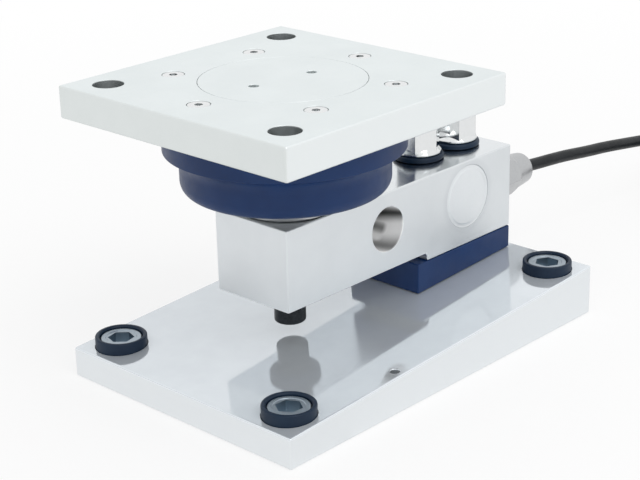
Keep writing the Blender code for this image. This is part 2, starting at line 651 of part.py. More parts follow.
# Load cup: round insert flush with the plate, with a hub that holds the upper seat
profile = [(0, hub_bottom), (CUP_HUB_R, hub_bottom), (CUP_HUB_R, plate_bottom), (CUP_R, plate_bottom),
           (CUP_R, plate_top - 0.0003), (CUP_R - 0.0003, plate_top), (0, plate_top)]
load_cup = place_object("load_cup", turned(new(), profile, 38), satin_steel, load_place, platform_axis)
bm = drilled(new(), SEAT_BORE_R, hub_bottom - 0.01, cup_roof, 24)
for turn in (SPANNER_TURN, SPANNER_TURN + math.pi):
    spot = Matrix.Translation((SPANNER_PITCH_R * math.cos(turn), SPANNER_PITCH_R * math.sin(turn), 0))
    drilled(bm, SPANNER_HOLE_R, plate_top - SPANNER_HOLE_DEPTH, plate_top + 0.01, 12, spot)
boolean(load_cup, bm, "load_cup_holes", load_place)

# Checking ring on the hub: it surrounds the collar's lip with the sway clearance
ring_inner_r = COLLAR_LIP_R + SWAY_CLEARANCE
ring_outer_r = ring_inner_r + CHECK_RING_WALL
lift_ring_top = lip_bottom - LIFT - GAP
ring_bottom = lift_ring_top + GAP
ring_top = plate_bottom - GAP
web_bottom = ring_top - CHECK_RING_WEB
profile = [(ring_inner_r, ring_bottom), (ring_outer_r, ring_bottom), (ring_outer_r, ring_top),
           (CUP_HUB_R + GAP, ring_top), (CUP_HUB_R + GAP, web_bottom), (ring_inner_r, web_bottom)]
check_ring = place_object("check_ring", turned(new(), profile, 28), bright_steel, load_place, platform_axis)
lift_screw_pitch_r = (ring_inner_r + ring_outer_r) / 2
lift_screw_places = [(lift_screw_pitch_r * math.cos(a), lift_screw_pitch_r * math.sin(a))
                     for a in np.radians([45, 135, 225, 315])]
bm = new()
for x, y in lift_screw_places:
    spot = Matrix.Translation((x, y, 0))
    drilled(bm, LIFT_SCREW_R + GAP, ring_bottom - 0.01, ring_bottom + LIFT_SCREW_LENGTH, 12, spot)
boolean(check_ring, bm, "check_ring_holes", load_place)

# Split lift ring: two halves that close under the collar's lip
lift_ring_bottom = lift_ring_top - LIFT_RING_THICKNESS
lift_inner_r = COLLAR_HUB_R + SWAY_CLEARANCE


def lift_ring_half(name, facing):
    """One half of the lift ring, with its two screw holes."""
    angles = np.linspace(-math.pi / 2, math.pi / 2, 21)
    play = math.asin(GAP / lift_inner_r)
    angles = angles * (1 - play / (math.pi / 2))
    outer = [(facing * ring_outer_r * math.cos(a), ring_outer_r * math.sin(a)) for a in angles]
    inner = [(facing * lift_inner_r * math.cos(a), lift_inner_r * math.sin(a)) for a in angles[::-1]]
    bm = prism(new(), outer + inner, lift_ring_bottom, lift_ring_top)
    half = place_object(name, bm, bright_steel, load_place, platform_axis)
    bm = new()
    for x, y in lift_screw_places:
        if x * facing > 0:
            spot = Matrix.Translation((x, y, 0))
            drilled(bm, LIFT_SCREW_R + GAP, lift_ring_bottom - 0.01, lift_ring_top + 0.01, 12, spot)
    boolean(half, bm, name + "_holes", load_place)


lift_ring_half("lift_ring_left", -1)
lift_ring_half("lift_ring_right", 1)
head_top = lift_ring_bottom - GAP
head_bottom = head_top - LIFT_SCREW_HEAD
screw_end = ring_bottom + LIFT_SCREW_LENGTH - 0.001
profile = [(0, head_bottom), (LIFT_SCREW_HEAD_R, head_bottom), (LIFT_SCREW_HEAD_R, head_top),
           (LIFT_SCREW_R, head_top), (LIFT_SCREW_R, screw_end), (0, screw_end)]
for number, (x, y) in enumerate(lift_screw_places, 1):
    bm = turned(new(), profile, 12)
    place_object(f"lift_ring_screw_{number}", bm, bright_steel, (load_x + x, y, 0), platform_axis)

# Boot: flange, coved step, drum and rolled-in lip, turned as one shell
boot_top = plate_bottom - GAP
flange_bottom = plate_bottom - BOOT_FLANGE_DEPTH
drum_top = flange_bottom - BOOT_STEP_DROP
drum_bottom = plate_bottom - BOOT_DRUM_BOTTOM
lip_bottom_z = drum_bottom - BOOT_LIP_DROP
step_width = BOOT_FLANGE_R - BOOT_DRUM_R
edge = 0.001
cove = [(BOOT_FLANGE_R - step_width * math.sin(a), flange_bottom - BOOT_STEP_DROP * (1 - math.cos(a)))
        for a in np.linspace(0, math.pi / 2, 4)]
rolled = [(BOOT_LIP_R + (BOOT_DRUM_R - BOOT_LIP_R) * math.cos(a), drum_bottom - BOOT_LIP_DROP * math.sin(a))
          for a in np.linspace(0, math.pi / 2, 4)]
profile = [(BOOT_INNER_R, boot_top), (BOOT_FLANGE_R - edge, boot_top), (BOOT_FLANGE_R, boot_top - edge)]
profile += cove + rolled
profile += [(BOOT_MOUTH_R, lip_bottom_z), (BOOT_MOUTH_R, lip_bottom_z + BOOT_LIP_RISE),
            (BOOT_INNER_R, lip_bottom_z + BOOT_LIP_RISE + (BOOT_INNER_R - BOOT_MOUTH_R))]
boot = place_object("boot", turned(new(), profile, 36), blue_plastic, load_place, platform_axis)
screw_tip = plate_top - 0.0002 - BOOT_SCREW_LENGTH
bm = new()
for x, y in boot_screw_places:
    drilled(bm, screw_hole_r, screw_tip - 0.001, boot_top + 0.01, 10, Matrix.Translation((x, y, 0)))
boolean(boot, bm, "boot_screw_holes", load_place)

# Countersunk screws through the plate into the boot's flange
head_z = plate_top - 0.0002
head_cone = BOOT_SCREW_HEAD_R - BOOT_SCREW_R
profile = [(0, screw_tip), (BOOT_SCREW_R, screw_tip), (BOOT_SCREW_R, head_z - head_cone - 0.0002),
           (BOOT_SCREW_HEAD_R, head_z - 0.0002), (BOOT_SCREW_HEAD_R, head_z), (0, head_z)]
for number, (x, y) in enumerate(boot_screw_places, 1):
    place = (load_x + x, y, 0)
    name = f"boot_screw_{number}"
    screw = place_object(name, turned(new(), profile, 14), bright_steel, place, platform_axis)
    bm = prism(new(), hexagon(BOOT_SCREW_SOCKET), head_z - BOOT_SCREW_SOCKET_DEPTH, head_z + 0.005)
    boolean(screw, bm, name + "_socket", place)

# Cable coil: a turned ring of its wound shape, held level by two ties
bundle_low = TIE_THICKNESS + GAP
bundle_high = bundle_low + COIL_TURNS_HIGH * 2 * CABLE_R
corner = COIL_CORNER_R
coil_inner = COIL_MIDDLE_R - COIL_TURNS_WIDE * CABLE_R
coil_outer = COIL_MIDDLE_R + COIL_TURNS_WIDE * CABLE_R
outer_turn_r = coil_outer - CABLE_R
coil_x = beam_end + COIL_FROM_BEAM_END
coil_y = -outer_turn_r
profile = arc(coil_outer - corner, bundle_low + corner, corner, -90, 0, 2)
profile += arc(coil_outer - corner, bundle_high - corner, corner, 0, 90, 2)
profile += arc(coil_inner + corner, bundle_high - corner, corner, 90, 180, 2)
profile += arc(coil_inner + corner, bundle_low + corner, corner, 180, 270, 2)
place_object("cable_coil", turned(new(), profile, 26), cable_jacket, (coil_x, coil_y, 0))


def coil_tie(name, turn):
    """A strap that goes once round the bundle, standing on the floor."""
    inside = (coil_inner - 2 * GAP, coil_outer + GAP, TIE_THICKNESS, bundle_high + GAP)
    outside = (inside[0] - TIE_THICKNESS, inside[1] + TIE_THICKNESS, 0, inside[3] + TIE_THICKNESS)
    upright = Matrix.Rotation(turn, 4, "Z") @ Matrix.Rotation(math.radians(90), 4, "X")
    bm = prism(new(), rectangle(*outside), -TIE_WIDTH / 2, TIE_WIDTH / 2, upright)
    tie = place_object(name, bm, black_plastic, (coil_x, coil_y, 0))
    bm = prism(new(), rectangle(*inside), -TIE_WIDTH, TIE_WIDTH, upright)
    boolean(tie, bm, name + "_inside", (coil_x, coil_y, 0))


coil_tie("coil_tie_1", math.radians(-60))
coil_tie("coil_tie_2", math.pi)


def smooth_route(points, spacing):
    """Even points along a smooth curve through the chosen ones (Catmull-Rom)."""
    p = np.array(points)
    ends = np.vstack([2 * p[0] - p[1], p, 2 * p[-1] - p[-2]])
    fine = []
    for a, b, c, d in zip(ends, ends[1:], ends[2:], ends[3:]):
        t = np.linspace(0, 1, 20, endpoint=False)[:, None]
        fine.append(0.5 * (2 * b + (c - a) * t + (2 * a - 5 * b + 4 * c - d) * t ** 2
                           + (3 * b - a - 3 * c + d) * t ** 3))
    fine = np.vstack(fine + [p[-1:]])
    run = np.concatenate([[0], np.cumsum(np.linalg.norm(np.diff(fine, axis=0), axis=1))])
    count = max(3, int(round(run[-1] / spacing)) + 1)
    at = np.linspace(0, run[-1], count)
    return np.stack([np.interp(at, run, fine[:, k]) for k in range(3)], axis=1)


def cable_run(name, points):
    """A round tube with filled ends along a route."""
    curve = bpy.data.curves.new(name, "CURVE")
    curve.dimensions = "3D"
    curve.bevel_depth = CABLE_R
    curve.bevel_resolution = 2
    curve.use_fill_caps = True
    route = smooth_route(points, CABLE_POINT_SPACING)
    spline = curve.splines.new("POLY")
    spline.points.add(len(route) - 1)
    spline.points.foreach_set("co", np.hstack([route, np.ones((len(route), 1))]).ravel())
    curve.materials.append(cable_jacket)
    bpy.context.collection.objects.link(bpy.data.objects.new(name, curve))


# Cable from the gland, drooping to the coil's top and round over its outer turn
cable_start = beam_end + nut_end + GAP
on_coil = bundle_high + GAP + CABLE_R
droop = [(0, 0), (0.008, 0.05), (0.024, 0.125), (0.041, 0.215), (0.059, 0.325), (0.078, 0.435),
         (0.096, 0.545), (0.112, 0.665), (0.127, 0.790), (0.140, 0.900), (0.152, 0.970), (0.163, 1)]
full_drop = GLAND_HEIGHT - on_coil
cable_points = [(cable_start + run, 0, GLAND_HEIGHT - share * full_drop) for run, share in droop]
for a in np.radians([-90, -76, -62, -48, -34, -20]):
    cable_points.append((coil_x + outer_turn_r * math.cos(a), coil_y - outer_turn_r * math.sin(a), on_coil))
cable_run("cable", cable_points)

# Short tail from the coil's outer turn to the connector
connector_axis_z = CONNECTOR_NUT_R
tail_y = coil_y - outer_turn_r
tail_z = bundle_low + CABLE_R
tail_start = coil_x - math.sqrt(coil_outer ** 2 - (coil_outer - 2 * CABLE_R) ** 2)
connector_rear_x = tail_start - TAIL_LENGTH
tail_rise = [(0, 0), (0.3, 0.07), (0.6, 0.47), (0.8, 0.87), (1, 1)]
tail_run = TAIL_LENGTH - GAP
cable_run("cable_tail", [(tail_start - share * tail_run, tail_y, tail_z + rise * (connector_axis_z - tail_z))
                         for share, rise in tail_rise])

# Connector: moulded body, screwed ring and contact insert, lying on the floor
connector_place = (connector_rear_x, tail_y, connector_axis_z)
lay_back = along((-1, 0, 0))
body_end = CONNECTOR_TAPER_LENGTH + CONNECTOR_BODY_LENGTH
ring_start = body_end - CONNECTOR_NUT_LENGTH * 0.3
body_front_r = CONNECTOR_INSERT_R + 0.0012
profile = [(0, 0), (CONNECTOR_TAPER_R, 0), (CONNECTOR_TAPER_R + 0.0006, CONNECTOR_TAPER_LENGTH * 0.5),
           (CONNECTOR_BODY_R, CONNECTOR_TAPER_LENGTH), (CONNECTOR_BODY_R, ring_start - GAP),
           (body_front_r, ring_start - GAP), (body_front_r, body_end), (0, body_end)]
place_object("connector_body", turned(new(), profile, 16, lay_back), black_plastic, connector_place)
ring_end = ring_start + CONNECTOR_NUT_LENGTH
edge = 0.0005
profile = [(body_front_r + GAP, ring_start), (CONNECTOR_NUT_R - edge, ring_start),
           (CONNECTOR_NUT_R, ring_start + edge), (CONNECTOR_NUT_R, ring_end - edge),
           (CONNECTOR_NUT_R - edge, ring_end), (body_front_r + GAP, ring_end)]
place_object("connector_ring", turned(new(), profile, 16, lay_back), bright_steel, connector_place)
insert_start = body_end + GAP
insert_end = ring_end + 0.001
profile = [(0, insert_start), (CONNECTOR_INSERT_R, insert_start),
           (CONNECTOR_INSERT_R, insert_end), (0, insert_end)]
bm = turned(new(), profile, 14, lay_back)
connector_insert = place_object("connector_insert", bm, black_plastic, connector_place)
bm = new()
pin_pitch_r = CONNECTOR_INSERT_R * 0.55
for k in range(CONNECTOR_PIN_COUNT):
    a = math.tau * k / CONNECTOR_PIN_COUNT + math.pi / 4
    spot = lay_back @ Matrix.Translation((pin_pitch_r * math.cos(a), pin_pitch_r * math.sin(a), 0))
    drilled(bm, CONNECTOR_PIN_R, insert_end - 0.004, insert_end + 0.01, 8, spot)
boolean(connector_insert, bm, "connector_insert_holes", connector_place)
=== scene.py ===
"""Load cell weighing module on a pale floor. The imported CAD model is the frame: each
visible piece is built here in finer detail in the place of its CAD node, and rides on
that node's body. Lengths are in metres, +X runs along the beam towards its cable, and
the origin is the centre of the base plate's underside."""

import math

import bmesh
import bpy
import numpy as np
from mathutils import Matrix, Vector


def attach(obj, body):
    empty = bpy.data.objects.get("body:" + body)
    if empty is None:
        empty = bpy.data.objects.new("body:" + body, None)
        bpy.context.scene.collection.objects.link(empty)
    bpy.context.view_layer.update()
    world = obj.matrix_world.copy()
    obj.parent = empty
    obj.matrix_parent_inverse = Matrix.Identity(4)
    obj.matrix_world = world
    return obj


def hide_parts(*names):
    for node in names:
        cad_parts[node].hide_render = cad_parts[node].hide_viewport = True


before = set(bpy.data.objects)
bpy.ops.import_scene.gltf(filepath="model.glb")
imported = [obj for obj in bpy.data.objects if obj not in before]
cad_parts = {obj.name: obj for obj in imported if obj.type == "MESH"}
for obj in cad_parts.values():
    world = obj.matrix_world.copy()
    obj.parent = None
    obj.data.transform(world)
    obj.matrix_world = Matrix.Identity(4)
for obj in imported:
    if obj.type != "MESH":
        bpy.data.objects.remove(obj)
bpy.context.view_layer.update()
scene = bpy.context.scene

# Camera. It stands where a fit of the plates' corners and the screws in the photograph put
# it, so that the module at rest is seen as the photograph shows it.
CAMERA_PLACE = (-0.496264, -0.461255, 0.310579)
CAMERA_RIGHT = (0.68228482, -0.73079117, -0.02077713)
CAMERA_UP = (0.27374423, 0.2290159, 0.93413908)
CAMERA_LOOK = (0.67790229, 0.64303653, -0.35630394)
camera = bpy.data.objects.new("camera", bpy.data.cameras.new("camera"))
scene.collection.objects.link(camera)
camera_turn = Matrix((CAMERA_RIGHT, CAMERA_UP, -Vector(CAMERA_LOOK))).transposed()
camera.matrix_world = Matrix.Translation(CAMERA_PLACE) @ camera_turn.to_4x4()
camera.data.sensor_width = 36
camera.data.lens = 92.78
camera.data.shift_x = -0.0067
camera.data.shift_y = -0.0082
camera.data.clip_end = 50
scene.camera = camera

# Base plate. Thick stainless plate whose top is planed to a slope and electropolished to a
# mirror. Its anchor screws sit in flat-bottomed pockets, the two cell bolts are screwed into
# it, and a tapped grounding hole opens near one edge.


def new_group(name, *values):
    """A node group that reads coordinates and gives values that change over the surface, and
    a normal."""
    group = bpy.data.node_groups.new(name, "ShaderNodeTree")
    sockets = [("Vector", "INPUT", "NodeSocketVector"), ("Normal", "OUTPUT", "NodeSocketVector")]
    sockets += [(value, "OUTPUT", "NodeSocketFloat") for value in values]
    for label, side, kind in sockets:
        group.interface.new_socket(label, in_out=side, socket_type=kind)
    start = group.nodes.new("NodeGroupInput")
    end = group.nodes.new("NodeGroupOutput")
    return group, start.outputs["Vector"], end.inputs


def feed(tree, value, socket):
    """Put a number, a colour or another socket's value into a socket."""
    if isinstance(value, tuple):
        socket.default_value = (*value, 1.0)
    elif isinstance(value, (int, float)):
        socket.default_value = value
    else:
        tree.links.new(value, socket)


def math_node(tree, operation, *values):
    """One step of arithmetic on numbers or sockets."""
    node = tree.nodes.new("ShaderNodeMath")
    node.operation = operation
    for value, socket in zip(values, node.inputs):
        feed(tree, value, socket)
    return node.outputs[0]


def noise(tree, vector, scale, detail=3.0, roughness=0.55):
    """Fractal noise, from about 0.3 to 0.7."""
    node = tree.nodes.new("ShaderNodeTexNoise")
    node.inputs["Scale"].default_value = scale
    node.inputs["Detail"].default_value = detail
    node.inputs["Roughness"].default_value = roughness
    tree.links.new(vector, node.inputs["Vector"])
    return node.outputs["Fac"]


def bump(tree, height, strength, distance):
    """A normal from a height value."""
    node = tree.nodes.new("ShaderNodeBump")
    node.inputs["Strength"].default_value = strength
    node.inputs["Distance"].default_value = distance
    tree.links.new(height, node.inputs["Height"])
    return node.outputs["Normal"]


def ranged(tree, value, low, high, start=0.35, end=0.65):
    """Map a value from start..end, the reach of a noise, to low..high."""
    node = tree.nodes.new("ShaderNodeMapRange")
    ends = (("From Min", start), ("From Max", end), ("To Min", low), ("To Max", high))
    for label, number in ends:
        node.inputs[label].default_value = number
    tree.links.new(value, node.inputs["Value"])
    return node.outputs["Result"]


def mixed(tree, fac, a, b, kind="RGBA"):
    """Blend two colours, or two numbers with the kind FLOAT, by a value."""
    node = tree.nodes.new("ShaderNodeMix")
    node.data_type = kind
    feed(tree, fac, node.inputs["Factor"])
    feed(tree, a, node.inputs["A"])
    feed(tree, b, node.inputs["B"])
    return node.outputs["Result"]


def polish_group():
    """Electropolished steel: a mirror that waves slightly and is hazed in patches."""
    group, vector, out = new_group("polished_skin", "Haze")
    waves = noise(group, vector, 26, 2.0, 0.45)
    height = math_node(group, "MULTIPLY_ADD", noise(group, vector, 420, 2.0, 0.5), 0.02, waves)
    group.links.new(noise(group, vector, 75, 4.0, 0.6), out["Haze"])
    group.links.new(bump(group, height, 0.03, 0.0012), out["Normal"])
    return group


POLISHED_SKIN = polish_group()


def new_material(name, metallic, group):
    """A material whose finish group reads object coordinates and gives its normal."""
    made = bpy.data.materials.new(name)
    made.use_nodes = True
    tree = made.node_tree
    shader = tree.nodes["Principled BSDF"]
    shader.inputs["Metallic"].default_value = metallic
    where = tree.nodes.new("ShaderNodeTexCoord")
    skin = tree.nodes.new("ShaderNodeGroup")
    skin.node_tree = group
    tree.links.new(where.outputs["Object"], skin.inputs["Vector"])
    tree.links.new(skin.outputs["Normal"], shader.inputs["Normal"])
    return made, tree, shader.inputs, skin.outputs


def object_axes(tree):
    """The X, Y and Z of the object coordinates."""
    where = tree.nodes.new("ShaderNodeTexCoord")
    parts = tree.nodes.new("ShaderNodeSeparateXYZ")
    tree.links.new(where.outputs["Object"], parts.inputs["Vector"])
    return parts.outputs


def polished_steel():
    """The base plate: a hazed mirror on its sloped top, satin and lighter on its sides."""
    made, tree, look, skin = new_material("polished_steel", 1.0, POLISHED_SKIN)
    place = object_axes(tree)
    rise = math_node(tree, "MULTIPLY_ADD", place["X"], SLOPE, BASE_MIDDLE)
    top = ranged(tree, math_node(tree, "SUBTRACT", place["Z"], rise), 0, 1, -0.0009, -0.0003)
    top_rough = ranged(tree, skin["Haze"], 0.06, 0.09)
    side_rough = ranged(tree, skin["Haze"], 0.36, 0.44)
    feed(tree, mixed(tree, top, side_rough, top_rough, "FLOAT"), look["Roughness"])
    feed(tree, mixed(tree, top, 1.0, 0.52, "FLOAT"), look["Metallic"])
    haze = mixed(tree, ranged(tree, skin["Haze"], 0, 1), (0.745, 0.79, 0.83), (0.775, 0.82, 0.86))
    feed(tree, mixed(tree, top, (0.81, 0.84, 0.86), haze), look["Base Color"])
    return made


ANCHOR_X = 0.0855
ANCHOR_Y = 0.0505
BASE_LENGTH = 0.200
BASE_LOW = 0.0135
BASE_HIGH = 0.0235
SLOPE = (BASE_HIGH - BASE_LOW) / BASE_LENGTH
BASE_MIDDLE = (BASE_HIGH + BASE_LOW) / 2
POLISHED = polished_steel()


def add_mesh(name, verts, faces, material, sharp=32):
    """An object from points and faces, smooth except across edges sharper than an angle."""
    mesh = bpy.data.meshes.new(name)
    mesh.from_pydata(verts.tolist(), [], faces)
    mesh.validate()
    mesh.shade_smooth()
    mesh.set_sharp_from_angle(angle=math.radians(sharp))
    if material:
        mesh.materials.append(material)
    made = bpy.data.objects.new(name, mesh)
    scene.collection.objects.link(made)
    return made


def moved(points, matrix):
    """Points turned and shifted by a matrix: R p + t."""
    m = np.array(matrix)
    return points @ m[:3, :3].T + m[:3, 3]


def filleted(points, closed=True, segments=5):
    """Outline with rounded corners, from points (u, v) or (u, v, radius).

    At a corner P with unit vectors a and b to its neighbours and angle t between them, the
    arc starts radius / tan(t / 2) before P, and its centre lies radius / sin(t / 2) from P
    on the bisector. Points on the arc are spherical blends of its two end radii."""
    out = []
    count = len(points)
    for k, point in enumerate(points):
        here = np.array(point[:2], float)
        radius = point[2] if len(point) > 2 else 0.0
        is_end = not closed and k in (0, count - 1)
        if radius == 0 or is_end:
            out.append(here)
            continue
        a = np.array(points[k - 1][:2], float) - here
        b = np.array(points[(k + 1) % count][:2], float) - here
        room = 0.49 * min(np.linalg.norm(a), np.linalg.norm(b))
        a /= np.linalg.norm(a)
        b /= np.linalg.norm(b)
        if np.linalg.norm(a + b) < 1e-6:
            out.append(here)
            continue
        half = 0.5 * math.acos(max(-1.0, min(1.0, float(a @ b))))
        reach = min(radius / math.tan(half), room)
        radius = reach * math.tan(half)
        centre = here + (a + b) / np.linalg.norm(a + b) * radius / math.sin(half)
        first = here + a * reach - centre
        last = here + b * reach - centre
        sweep = math.pi - 2 * half
        s = np.linspace(0, 1, segments + 1)[:, None]
        blend = np.sin((1 - s) * sweep) * first + np.sin(s * sweep) * last
        out.extend(centre + blend / math.sin(sweep))
    return [tuple(p) for p in out]


def spun(profile, steps):
    """Surface of revolution about Z: (r, h) turns into (r cos a, r sin a, h).

    A profile that starts and ends on the axis closes there with fans; any other is a closed
    loop. Its corners (r, h, radius) are rounded first."""
    profile = np.array(filleted(profile, profile[0][0] > 0))
    on_axis = profile[:, 0] < 1e-9
    counts = np.where(on_axis, 1, steps)
    starts = np.cumsum(counts) - counts
    ring = np.repeat(np.arange(len(profile)), counts)
    a = (np.arange(counts.sum()) - starts[ring]) * math.tau / steps
    r, h = profile[ring].T
    verts = np.column_stack([r * np.cos(a), r * np.sin(a), h])
    rings = starts[:, None] + np.where(on_axis[:, None], 0, np.arange(steps))
    pairs = [(k, k + 1) for k in range(len(profile) - 1)]
    if not on_axis[0]:
        pairs.append((len(profile) - 1, 0))
    faces = []
    for low, high in pairs:
        corners = [rings[low], np.roll(rings[low], -1), np.roll(rings[high], -1), rings[high]]
        if on_axis[low]:
            corners.pop(1)
        elif on_axis[high]:
            corners.pop()
        faces += np.column_stack(corners).tolist()
    return verts, faces


def outward(made):
    """Make a closed mesh's faces look outwards."""
    bm = bmesh.new()
    bm.from_mesh(made.data)
    bmesh.ops.recalc_face_normals(bm, faces=bm.faces)
    bm.to_mesh(made.data)
    bm.free()
    return made


def lathe(name, profile, material, matrix, steps=96, sharp=32):
    """A turned piece."""
    verts, faces = spun(profile, steps)
    return outward(add_mesh(name, moved(verts, matrix), faces, material, sharp))


def extruded(name, outline, low, high, material, matrix):
    """A flat outline of (x, y) points drawn out along Z: (x, y, low) and (x, y, high)."""
    count = len(outline)
    verts = np.column_stack([np.tile(outline, (2, 1)), np.repeat([low, high], count)])
    k = np.arange(count)
    after = np.roll(k, -1)
    sides = np.column_stack([k, after, count + after, count + k])
    faces = [k.tolist(), (count + k).tolist(), *sides.tolist()]
    return outward(add_mesh(name, moved(verts, matrix), faces, material))


def applied(made):
    """Put what a piece's modifiers make of it in place of its mesh."""
    graph = bpy.context.evaluated_depsgraph_get()
    old = made.data
    made.data = bpy.data.meshes.new_from_object(made.evaluated_get(graph))
    made.modifiers.clear()
    bpy.data.meshes.remove(old)
    return made


def baked(made):
    """Apply a piece's modifiers and shade it smooth except across sharp edges."""
    applied(made).data.shade_smooth()
    made.data.set_sharp_from_angle(angle=math.radians(32))
    return made


def combine(made, tool, operation="DIFFERENCE"):
    """Cut a piece with another, join them or keep what they share, and drop the tool."""
    step = made.modifiers.new("combine", "BOOLEAN")
    step.object = tool
    step.operation = operation
    step.solver = "EXACT"
    baked(made)
    bpy.data.objects.remove(tool, do_unlink=True)
    return made


def rounded_edges(made, width):
    """Bevel a block's edges."""
    step = made.modifiers.new("edges", "BEVEL")
    step.width = width
    step.segments = 3
    step.limit_method = "ANGLE"
    step.angle_limit = math.radians(30)
    return baked(made)


def flat_faces_flat(made):
    """Weight the normals by face size, so that flat faces stay flat next to rounded edges."""
    step = made.modifiers.new("normals", "WEIGHTED_NORMAL")
    step.keep_sharp = True
    step.weight = 100
    return applied(made)


def at(x, y=0.0):
    """Matrix that moves a piece to a place."""
    return Matrix.Translation((x, y, 0))


# Stands a side view, drawn with X along and Y up, on its lower edge
UPRIGHT = Matrix.Rotation(math.radians(90), 4, "X")


def bore(piece, radius, low, high, flare, place, steps=64, corner=0.0):
    """Cut a round hole. Its mouth, at height high, flares out to leave a rounded rim, and the
    corner of its floor is rounded."""
    a = np.linspace(0, math.pi / 2, 5 if flare else 1)
    rim = zip(radius + flare * (1 - np.cos(a)), high - flare * (1 - np.sin(a)))
    profile = [(0, low), (radius, low, corner), *rim]
    profile += [(radius + flare, high + 0.01), (0, high + 0.01)]
    return combine(piece, lathe("drill", profile, None, place, steps))


def placed(piece, body, finish_slot, *nodes):
    """Let a piece stand for its CAD nodes and move with their body."""
    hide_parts(*nodes)
    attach(piece, body)
    return piece


BASE_WIDTH = 0.130
CELL_BOLTS = (0.0535, 0.0795)
SCREW_HOLE_R = 0.0063
CUP_POCKET_R = 0.01155
CUP_POCKET_DEPTH = 0.006
GROUND_HOLE = (-0.0336, -0.0605)


def base_top(x):
    """Height of the sloped base plate."""
    return BASE_LOW + (x + BASE_LENGTH / 2) / BASE_LENGTH * (BASE_HIGH - BASE_LOW)


half_length = BASE_LENGTH / 2
half_width = BASE_WIDTH / 2
side_view = [(-half_length, 0), (half_length, 0), (half_length, BASE_HIGH),
             (-half_length, BASE_LOW)]
base = extruded("base_block", side_view, -half_width, half_width, POLISHED, UPRIGHT)
rounded_edges(base, 0.0009)
anchor_places = [(x, y) for x in (-ANCHOR_X, ANCHOR_X) for y in (-ANCHOR_Y, ANCHOR_Y)]
for x, y in anchor_places:
    bore(base, CUP_POCKET_R, base_top(x) - CUP_POCKET_DEPTH, 0.05, 0, at(x, y))
    bore(base, SCREW_HOLE_R, -0.01, 0.03, 0, at(x, y))
for x in CELL_BOLTS:
    bore(base, SCREW_HOLE_R, 0.004, 0.05, 0, at(x))
mouth = base_top(GROUND_HOLE[0]) + 0.0001
bore(base, 0.0021, mouth - 0.0081, mouth, 0.0004, at(*GROUND_HOLE), 32)
placed(flat_faces_flat(base), "frame", "polished_steel", "base_plate")

# Anchor screws. Four hexagon socket screws of dull steel fasten the base to its foundation,
# each in a moulded dark blue cup that keeps dirt out of the pocket.


def turned_group():
    """Turned or ground steel: the tool's fine marks over broader ones, and dull patches."""
    group, vector, out = new_group("turned_skin", "Tone", "Dullness")
    fine = noise(group, vector, 900, 4.0, 0.7)
    marks = math_node(group, "MULTIPLY_ADD", noise(group, vector, 160, 3.0, 0.6), 0.6, fine)
    group.links.new(marks, out["Tone"])
    group.links.new(noise(group, vector, 60), out["Dullness"])
    group.links.new(bump(group, marks, 0.10, 0.00003), out["Normal"])
    return group


def moulded_group():
    """Moulded plastic or rubber: faint blotches, uneven gloss and a fine eroded skin."""
    group, vector, out = new_group("moulded_skin", "Tone", "Dullness")
    group.links.new(noise(group, vector, 55), out["Tone"])
    group.links.new(noise(group, vector, 140, 4.0, 0.6), out["Dullness"])
    skin = noise(group, vector, 1500, 3.0, 0.6)
    group.links.new(bump(group, skin, 0.3, 0.00006), out["Normal"])
    return group


TURNED_SKIN = turned_group()
MOULDED_SKIN = moulded_group()


def toned(name, metallic, group, light, dark, smooth, rough, start=0.35, end=0.65):
    """A finish whose colour and roughness follow its group's tone and dullness."""
    made, tree, look, skin = new_material(name, metallic, group)
    colour = mixed(tree, ranged(tree, skin["Tone"], 0, 1, start, end), dark, light)
    feed(tree, colour, look["Base Color"])
    feed(tree, ranged(tree, skin["Dullness"], smooth, rough), look["Roughness"])
    return made


def ground_steel(name, light, dark, smooth, rough):
    """Ground or turned steel."""
    return toned(name, 1.0, TURNED_SKIN, light, dark, smooth, rough, 0.5, 1.1)


def moulded(name, light, dark, smooth, rough, gloss=0.3):
    """Moulded plastic or rubber."""
    made = toned(name, 0.0, MOULDED_SKIN, light, dark, smooth, rough)
    made.node_tree.nodes["Principled BSDF"].inputs["Specular IOR Level"].default_value = gloss
    return made


def tinted(made, mask, colour):
    """Give a finished material another colour where a mask is one."""
    tree = made.node_tree
    base = tree.nodes["Principled BSDF"].inputs["Base Color"]
    feed(tree, mixed(tree, mask, base.links[0].from_socket, colour), base)


def offset_from(tree, axis_value, centre):
    """A coordinate's distance from a centre, without its sign."""
    return math_node(tree, "ABSOLUTE", math_node(tree, "SUBTRACT", axis_value, centre))


def length_of(tree, a, b):
    """Length of the vector (a, b)."""
    squares = math_node(tree, "MULTIPLY_ADD", a, a, math_node(tree, "MULTIPLY", b, b))
    return math_node(tree, "SQRT", squares)


def anchor_steel():
    """The anchor screws' steel, with a flat painted colour for the shade inside the hexagon
    sockets. A socket's surface lies within its corner radius of the screw's axis and below the
    head's top."""
    made = ground_steel("anchor_steel", (0.38, 0.44, 0.49), (0.32, 0.37, 0.42), 0.28, 0.38)
    tree = made.node_tree
    place = object_axes(tree)
    along_x = offset_from(tree, math_node(tree, "ABSOLUTE", place["X"]), ANCHOR_X)
    along_y = offset_from(tree, math_node(tree, "ABSOLUTE", place["Y"]), ANCHOR_Y)
    in_socket = math_node(tree, "LESS_THAN", length_of(tree, along_x, along_y), 0.0060)
    end = math_node(tree, "SIGN", place["X"])
    rise = math_node(tree, "MULTIPLY_ADD", end, ANCHOR_X * SLOPE, BASE_MIDDLE + 0.0031)
    below_rim = math_node(tree, "LESS_THAN", place["Z"], rise)
    # Painted shade: the socket walls take one flat colour chosen for how the shaded recess looks
    tinted(made, math_node(tree, "MULTIPLY", in_socket, below_rim), (0.36, 0.43, 0.49))
    return made


ANCHOR = anchor_steel()
SEAL = moulded("blue_seal", (0.004, 0.020, 0.046), (0.003, 0.014, 0.036), 0.40, 0.52)


